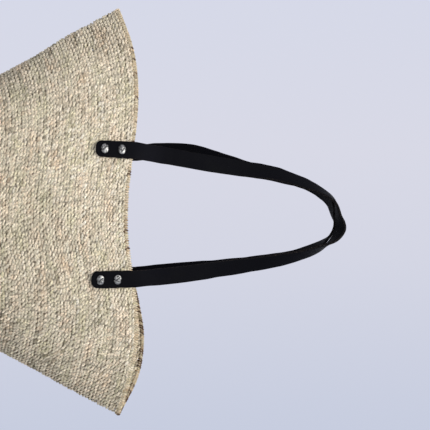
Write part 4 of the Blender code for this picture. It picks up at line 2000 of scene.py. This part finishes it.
@dataclass
class Rivets:
    """Two-part rivets: a hammered cap outside, and a low stud inside."""

    strap: StrapForm
    form: BasketForm
    marks: HammerMarks = HammerMarks()
    cap_radius: float = 0.00565
    cap_edge: float = 0.0006
    cap_dome: float = 0.0013
    cap_flattening: float = 0.86
    least_cap: float = 0.0001
    barrel_radius: float = 0.0016
    stud_radius: float = 0.0050
    stud_edge: float = 0.0005
    stud_dome: float = 0.0011
    seat_share: float = 0.985
    sides: int = 48
    rings: int = 14
    weld: float = 1e-6
    random: np.random.Generator = field(default_factory=lambda: np.random.default_rng(5))

    def stack(self) -> float:
        """Depth from the leather's outer face to the patch's inner face."""
        leather = self.strap.thickness + self.strap.patch_thickness
        return leather + self.form.thickness + 2.0 * self.strap.clearance + self.strap.patch_ease

    def turned(self, profile: list[tuple[float, float]]) -> BMesh:
        """Solid turned about Z from a profile of (radius, height) points.

        Args:
            profile: The points.

        Returns:
            The solid.
        """
        bm = bmesh.new()
        verts = [bm.verts.new((radius, 0.0, height)) for radius, height in profile]
        edges = [bm.edges.new(pair) for pair in zip(verts, verts[1:])]
        bmesh.ops.spin(
            bm, geom=verts + edges, cent=(0.0, 0.0, 0.0), axis=(0.0, 0.0, 1.0),
            angle=TURN, steps=self.sides, use_merge=True,
        )
        bmesh.ops.remove_doubles(bm, verts=bm.verts, dist=self.weld)
        bmesh.ops.recalc_face_normals(bm, faces=bm.faces)
        return bm

    def dome(self, radius: float, low: float, rise: float) -> list[tuple[float, float]]:
        """Profile of a shallow dome.

        Args:
            radius: The dome's radius.
            low: Height of its edge.
            rise: Rise of its crown over its edge.

        Returns:
            Points of (radius, height) from its crown to its edge.
        """
        turns = np.linspace(math.pi / 2.0, 0.0, self.rings)[:-1]
        return [*((radius * math.cos(turn), low + rise * math.sin(turn)) for turn in turns), (radius, low)]

    def dents(self) -> list[tuple[float, float, float, float]]:
        """Hammer marks as (x, y, radius, depth), and one long slanted one as several in a row.

        Returns:
            The marks.
        """
        marks, radius, any_of = self.marks, self.cap_radius, self.random.uniform
        found = []
        for _ in range(marks.round_count):
            turn = any_of(0.0, TURN)
            reach = radius * math.sqrt(any_of(*marks.round_area))
            place = reach * math.cos(turn), reach * math.sin(turn)
            found.append((*place, any_of(*marks.round_radius), any_of(*marks.round_depth)))
        # Dents along both sides of the cap, whose darkening is painted shade.
        for side, depth in marks.shaded_side_depths:
            for across in marks.side_places:
                x = radius * (across + any_of(*marks.side_slip))
                y = radius * side * any_of(*marks.side_reach)
                found.append((x, y, any_of(*marks.side_radius), depth * any_of(*marks.side_strength)))
        slant = any_of(*marks.long_turn)
        offset = any_of(*marks.long_offset)
        for step in np.linspace(-marks.long_half, marks.long_half, marks.long_points):
            x = radius * step * math.cos(slant) - offset * math.sin(slant)
            y = radius * step * math.sin(slant) + offset * math.cos(slant)
            found.append((x, y, marks.long_radius, marks.long_depth))
        return found

    def cap(self, name: str, matrix: Matrix, finish: Material) -> Object:
        """Hammered cap with the barrel that goes through the wall.

        Args:
            name: The piece's name.
            matrix: The rivet's frame.
            finish: Its material.

        Returns:
            The piece.
        """
        under = self.strap.clearance
        lowest = under + self.least_cap
        profile = self.dome(self.cap_radius, under + self.cap_edge, self.cap_dome)
        profile += [(self.cap_radius * self.seat_share, under), (self.barrel_radius, under)]
        profile += [(self.barrel_radius, -self.stack()), (0.0, -self.stack())]
        bm = self.turned(profile)
        dents = self.dents()
        depths = []
        for vert in bm.verts:
            deep = 0.0
            if vert.co.z > lowest:
                for x, y, radius, depth in dents:
                    near = math.hypot(vert.co.x - x, vert.co.y - y) / radius
                    deep = max(deep, depth * max(0.0, 1.0 - near**2) ** self.marks.fall)
                edge = math.hypot(vert.co.x, vert.co.y) / self.cap_radius
                vert.co.z = max(vert.co.z - deep * (1.0 - self.marks.edge_relief * edge**4), lowest)
            if vert.co.z > under / 2.0:
                vert.co.y *= self.cap_flattening
            depths.append(deep / self.marks.darkest_depth)
        near = np.clip(np.array(depths), 0.0, 1.0)
        return self.finished(name, bm, near, matrix, finish)

    def stud(self, name: str, matrix: Matrix, finish: Material) -> Object:
        """Low stud cap inside the basket.

        Args:
            name: The piece's name.
            matrix: The rivet's frame.
            finish: Its material.

        Returns:
            The piece.
        """
        seat = -self.stack() - self.strap.clearance
        crown = self.dome(self.stud_radius, self.stud_edge - seat, self.stud_dome)
        profile = [(radius, -height) for radius, height in crown]
        profile += [(self.stud_radius * self.seat_share, seat), (0.0, seat)]
        bm = self.turned(profile)
        return self.finished(name, bm, np.zeros(len(bm.verts)), matrix, finish)

    def finished(self, name: str, bm: BMesh, near: Array, matrix: Matrix, finish: Material) -> Object:
        """Piece of a rivet, moved to its place.

        Args:
            name: The piece's name.
            bm: Its form about the Z axis.
            near: How deep in a dent each vertex lies, from 0 to 1.
            matrix: The rivet's frame.
            finish: Its material.

        Returns:
            The piece.
        """
        mesh = mesh_from(bm, name)
        put_vectors(mesh, "dent", np.column_stack([near, near, near]))
        mesh.transform(matrix)
        return finished_object(name, mesh, finish)

    def build(self, routes: list[StrapRoute], finish: Material) -> list[Object]:
        """A cap and a stud at every rivet place.

        Args:
            routes: Routes of the handles.
            finish: Material of the rivets.

        Returns:
            The pieces.
        """
        pieces = []
        for route in routes:
            for end in End:
                for number, level in enumerate(("lower", "upper")):
                    name = f"{route.side.name.lower()}_{end.name.lower()}_{level}"
                    matrix = route.rivet_matrix(end, number)
                    cap = self.cap(f"{name}_cap", matrix, finish)
                    stud = self.stud(f"{name}_stud", matrix, finish)
                    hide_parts(f"{name}_rivet_cap")
                    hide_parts(f"{name}_rivet_stud")
                    pieces += [cap, stud]
        for piece in pieces:
            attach(piece, "basket")
        return pieces


# Stage


@dataclass(frozen=True)
class Lamp:
    """One soft square lamp."""

    name: str
    place: tuple
    size: float
    power: float
    colour: tuple

    def build(self, target: tuple) -> None:
        """Adds the lamp, turned to a target.

        Args:
            target: The point that it looks at.
        """
        data = bpy.data.lights.new(self.name, "AREA")
        data.shape = "SQUARE"
        data.size = self.size
        data.energy = self.power
        data.color = self.colour
        lamp = placed(self.name, data)
        lamp.location = self.place
        lamp.rotation_mode = "QUATERNION"
        lamp.rotation_quaternion = (Vector(target) - Vector(self.place)).to_track_quat("-Z", "Y")


@dataclass(frozen=True)
class Studio:
    """Camera at the photograph's angle, a pale floor and backdrop, and soft lamps.

    The photograph lies on its side, so the camera is rolled with its right edge up.
    """

    eye: tuple = (0.0024, -1.50, 0.168)
    pitch: float = math.radians(8.5)
    focal_share: float = 1233.0 / 430.0
    sensor: float = 36.0
    target: tuple = (0.0, 0.0, 0.25)
    lamps: tuple = (
        Lamp("key", (-0.18, -1.25, 1.72), 1.1, 22.9, (1.0, 0.985, 0.96)),
        Lamp("fill", (0.5, -2.2, 1.6), 1.6, 11.5, (0.97, 0.985, 1.0)),
        Lamp("rear", (0.4, 2.2, 1.7), 1.8, 20.0, (0.98, 0.99, 1.0)),
    )
    world_colour: tuple = (0.93, 0.95, 1.0, 1.0)
    world_strength: float = 0.47
    # Backdrop colours across the view: darker toward one side, as painted shade where the light falls off.
    backdrop: tuple = (
        (0.0, linear(214, 217, 232)), (0.35, linear(216, 217, 230)),
        (0.6, linear(212, 214, 228)), (1.0, linear(199, 205, 223)),
    )
    backdrop_edge: float = 0.17
    floor_colour: tuple = linear(214, 216, 226)
    floor_roughness: float = 0.9
    floor_radius: float = 4.6
    floor_sides: int = 96
    floor_drop: float = 0.0004

    def camera(self) -> None:
        """Makes the scene's camera."""
        data = bpy.data.cameras.new("camera")
        data.sensor_width = self.sensor
        data.lens = self.focal_share * self.sensor
        camera = placed("camera", data)
        sine, cosine = math.sin(self.pitch), math.cos(self.pitch)
        turn = Matrix(((0.0, -sine, cosine), (-1.0, 0.0, 0.0), (0.0, -cosine, -sine))).transposed()
        camera.matrix_world = Matrix.Translation(self.eye) @ turn.to_4x4()
        bpy.context.scene.camera = camera

    def world(self) -> None:
        """Makes soft light from all round, and the pale backdrop that the camera and bright metal see, with
        painted shade toward one side.
        """
        world = bpy.data.worlds.new("studio")
        bpy.context.scene.world = world
        world.use_nodes = True
        desk = NodeDesk(world.node_tree)
        light = world.node_tree.nodes["Background"]
        light.inputs["Color"].default_value = self.world_colour
        light.inputs["Strength"].default_value = self.world_strength
        seen = desk.add("ShaderNodeBackground")
        across, _, _ = desk.parts(desk.add("ShaderNodeTexCoord").outputs["Generated"])
        share = desk.fit(across, -self.backdrop_edge, self.backdrop_edge, 0.0, 1.0)
        desk.feed(seen.inputs["Color"], desk.ramp(share, self.backdrop))
        path = desk.add("ShaderNodeLightPath")
        shown = desk.math("MAXIMUM", path.outputs["Is Camera Ray"], path.outputs["Is Glossy Ray"])
        shown = desk.math("MAXIMUM", shown, path.outputs["Is Transmission Ray"])
        choice = desk.add("ShaderNodeMixShader")
        for socket, value in zip(choice.inputs, (shown, light.outputs[0], seen.outputs[0])):
            desk.feed(socket, value)
        desk.feed(world.node_tree.nodes["World Output"].inputs["Surface"], choice.outputs[0])

    def floor(self) -> None:
        """Makes the round floor."""
        bm = bmesh.new()
        bmesh.ops.create_circle(bm, cap_ends=True, segments=self.floor_sides, radius=self.floor_radius)
        mesh = mesh_from(bm, "floor")
        material, _, shader = new_material("floor")
        shader.inputs["Base Color"].default_value = self.floor_colour
        shader.inputs["Roughness"].default_value = self.floor_roughness
        mesh.materials.append(material)
        floor = placed("floor", mesh)
        floor.location.z = -self.floor_drop

    def build(self) -> None:
        """Makes the camera, the world, the floor and the lamps."""
        bpy.context.scene.view_settings.view_transform = "Standard"
        self.camera()
        self.world()
        self.floor()
        for lamp in self.lamps:
            lamp.build(self.target)


def main() -> None:
    """Builds the basket's looks in order and reports each piece."""
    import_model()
    form = BasketForm()
    strap = StrapForm()
    weave = StrandFinish(
        "bleached_sisal",
        tones=(
            (0.0, linear(167, 156, 133)), (0.30, linear(216, 205, 181)),
            (0.62, linear(247, 233, 207)), (1.0, linear(255, 247, 229)),
        ),
        warm=linear(255, 244, 236),
        cool=linear(244, 246, 233),
    ).material()
    ribs = StrandFinish(
        "rib_fibre",
        tones=((0.0, linear(96, 80, 56)), (1.0, linear(170, 150, 112))),
        warm=linear(255, 240, 220),
        cool=linear(236, 240, 220),
    ).material()
    hem = StrandFinish(
        "hem_fibre",
        tones=((0.0, linear(104, 80, 62)), (0.3, linear(222, 204, 172)), (1.0, linear(252, 241, 219))),
        warm=linear(255, 238, 220),
        cool=linear(243, 244, 226),
    ).material()
    leather = LeatherFinish("black_leather", linear(6, 6, 10), linear(52, 47, 43)).material()
    suede = LeatherFinish("patch_leather", linear(26, 25, 28), linear(80, 70, 60), pores=1200.0).material()
    nickel = NickelFinish().material()

    for piece in TwinedBody(form).build(weave, ribs):
        LOG.info("%s: %d faces", piece.name, len(piece.data.polygons))
    LOG.info("%s built", WoundHem(form).build(hem).name)
    routes = [StrapRoute(side, form, strap) for side in Side]
    for route in routes:
        for piece in Handle(route, LeatherWork(strap)).build(leather, suede):
            LOG.info("%s: %d faces", piece.name, len(piece.data.polygons))
    for piece in Rivets(strap, form).build(routes, nickel):
        LOG.info("%s built", piece.name)
    Studio().build()


if __name__ == "__main__":
    logging.basicConfig(level=logging.INFO, format="%(name)s: %(message)s")
    main()
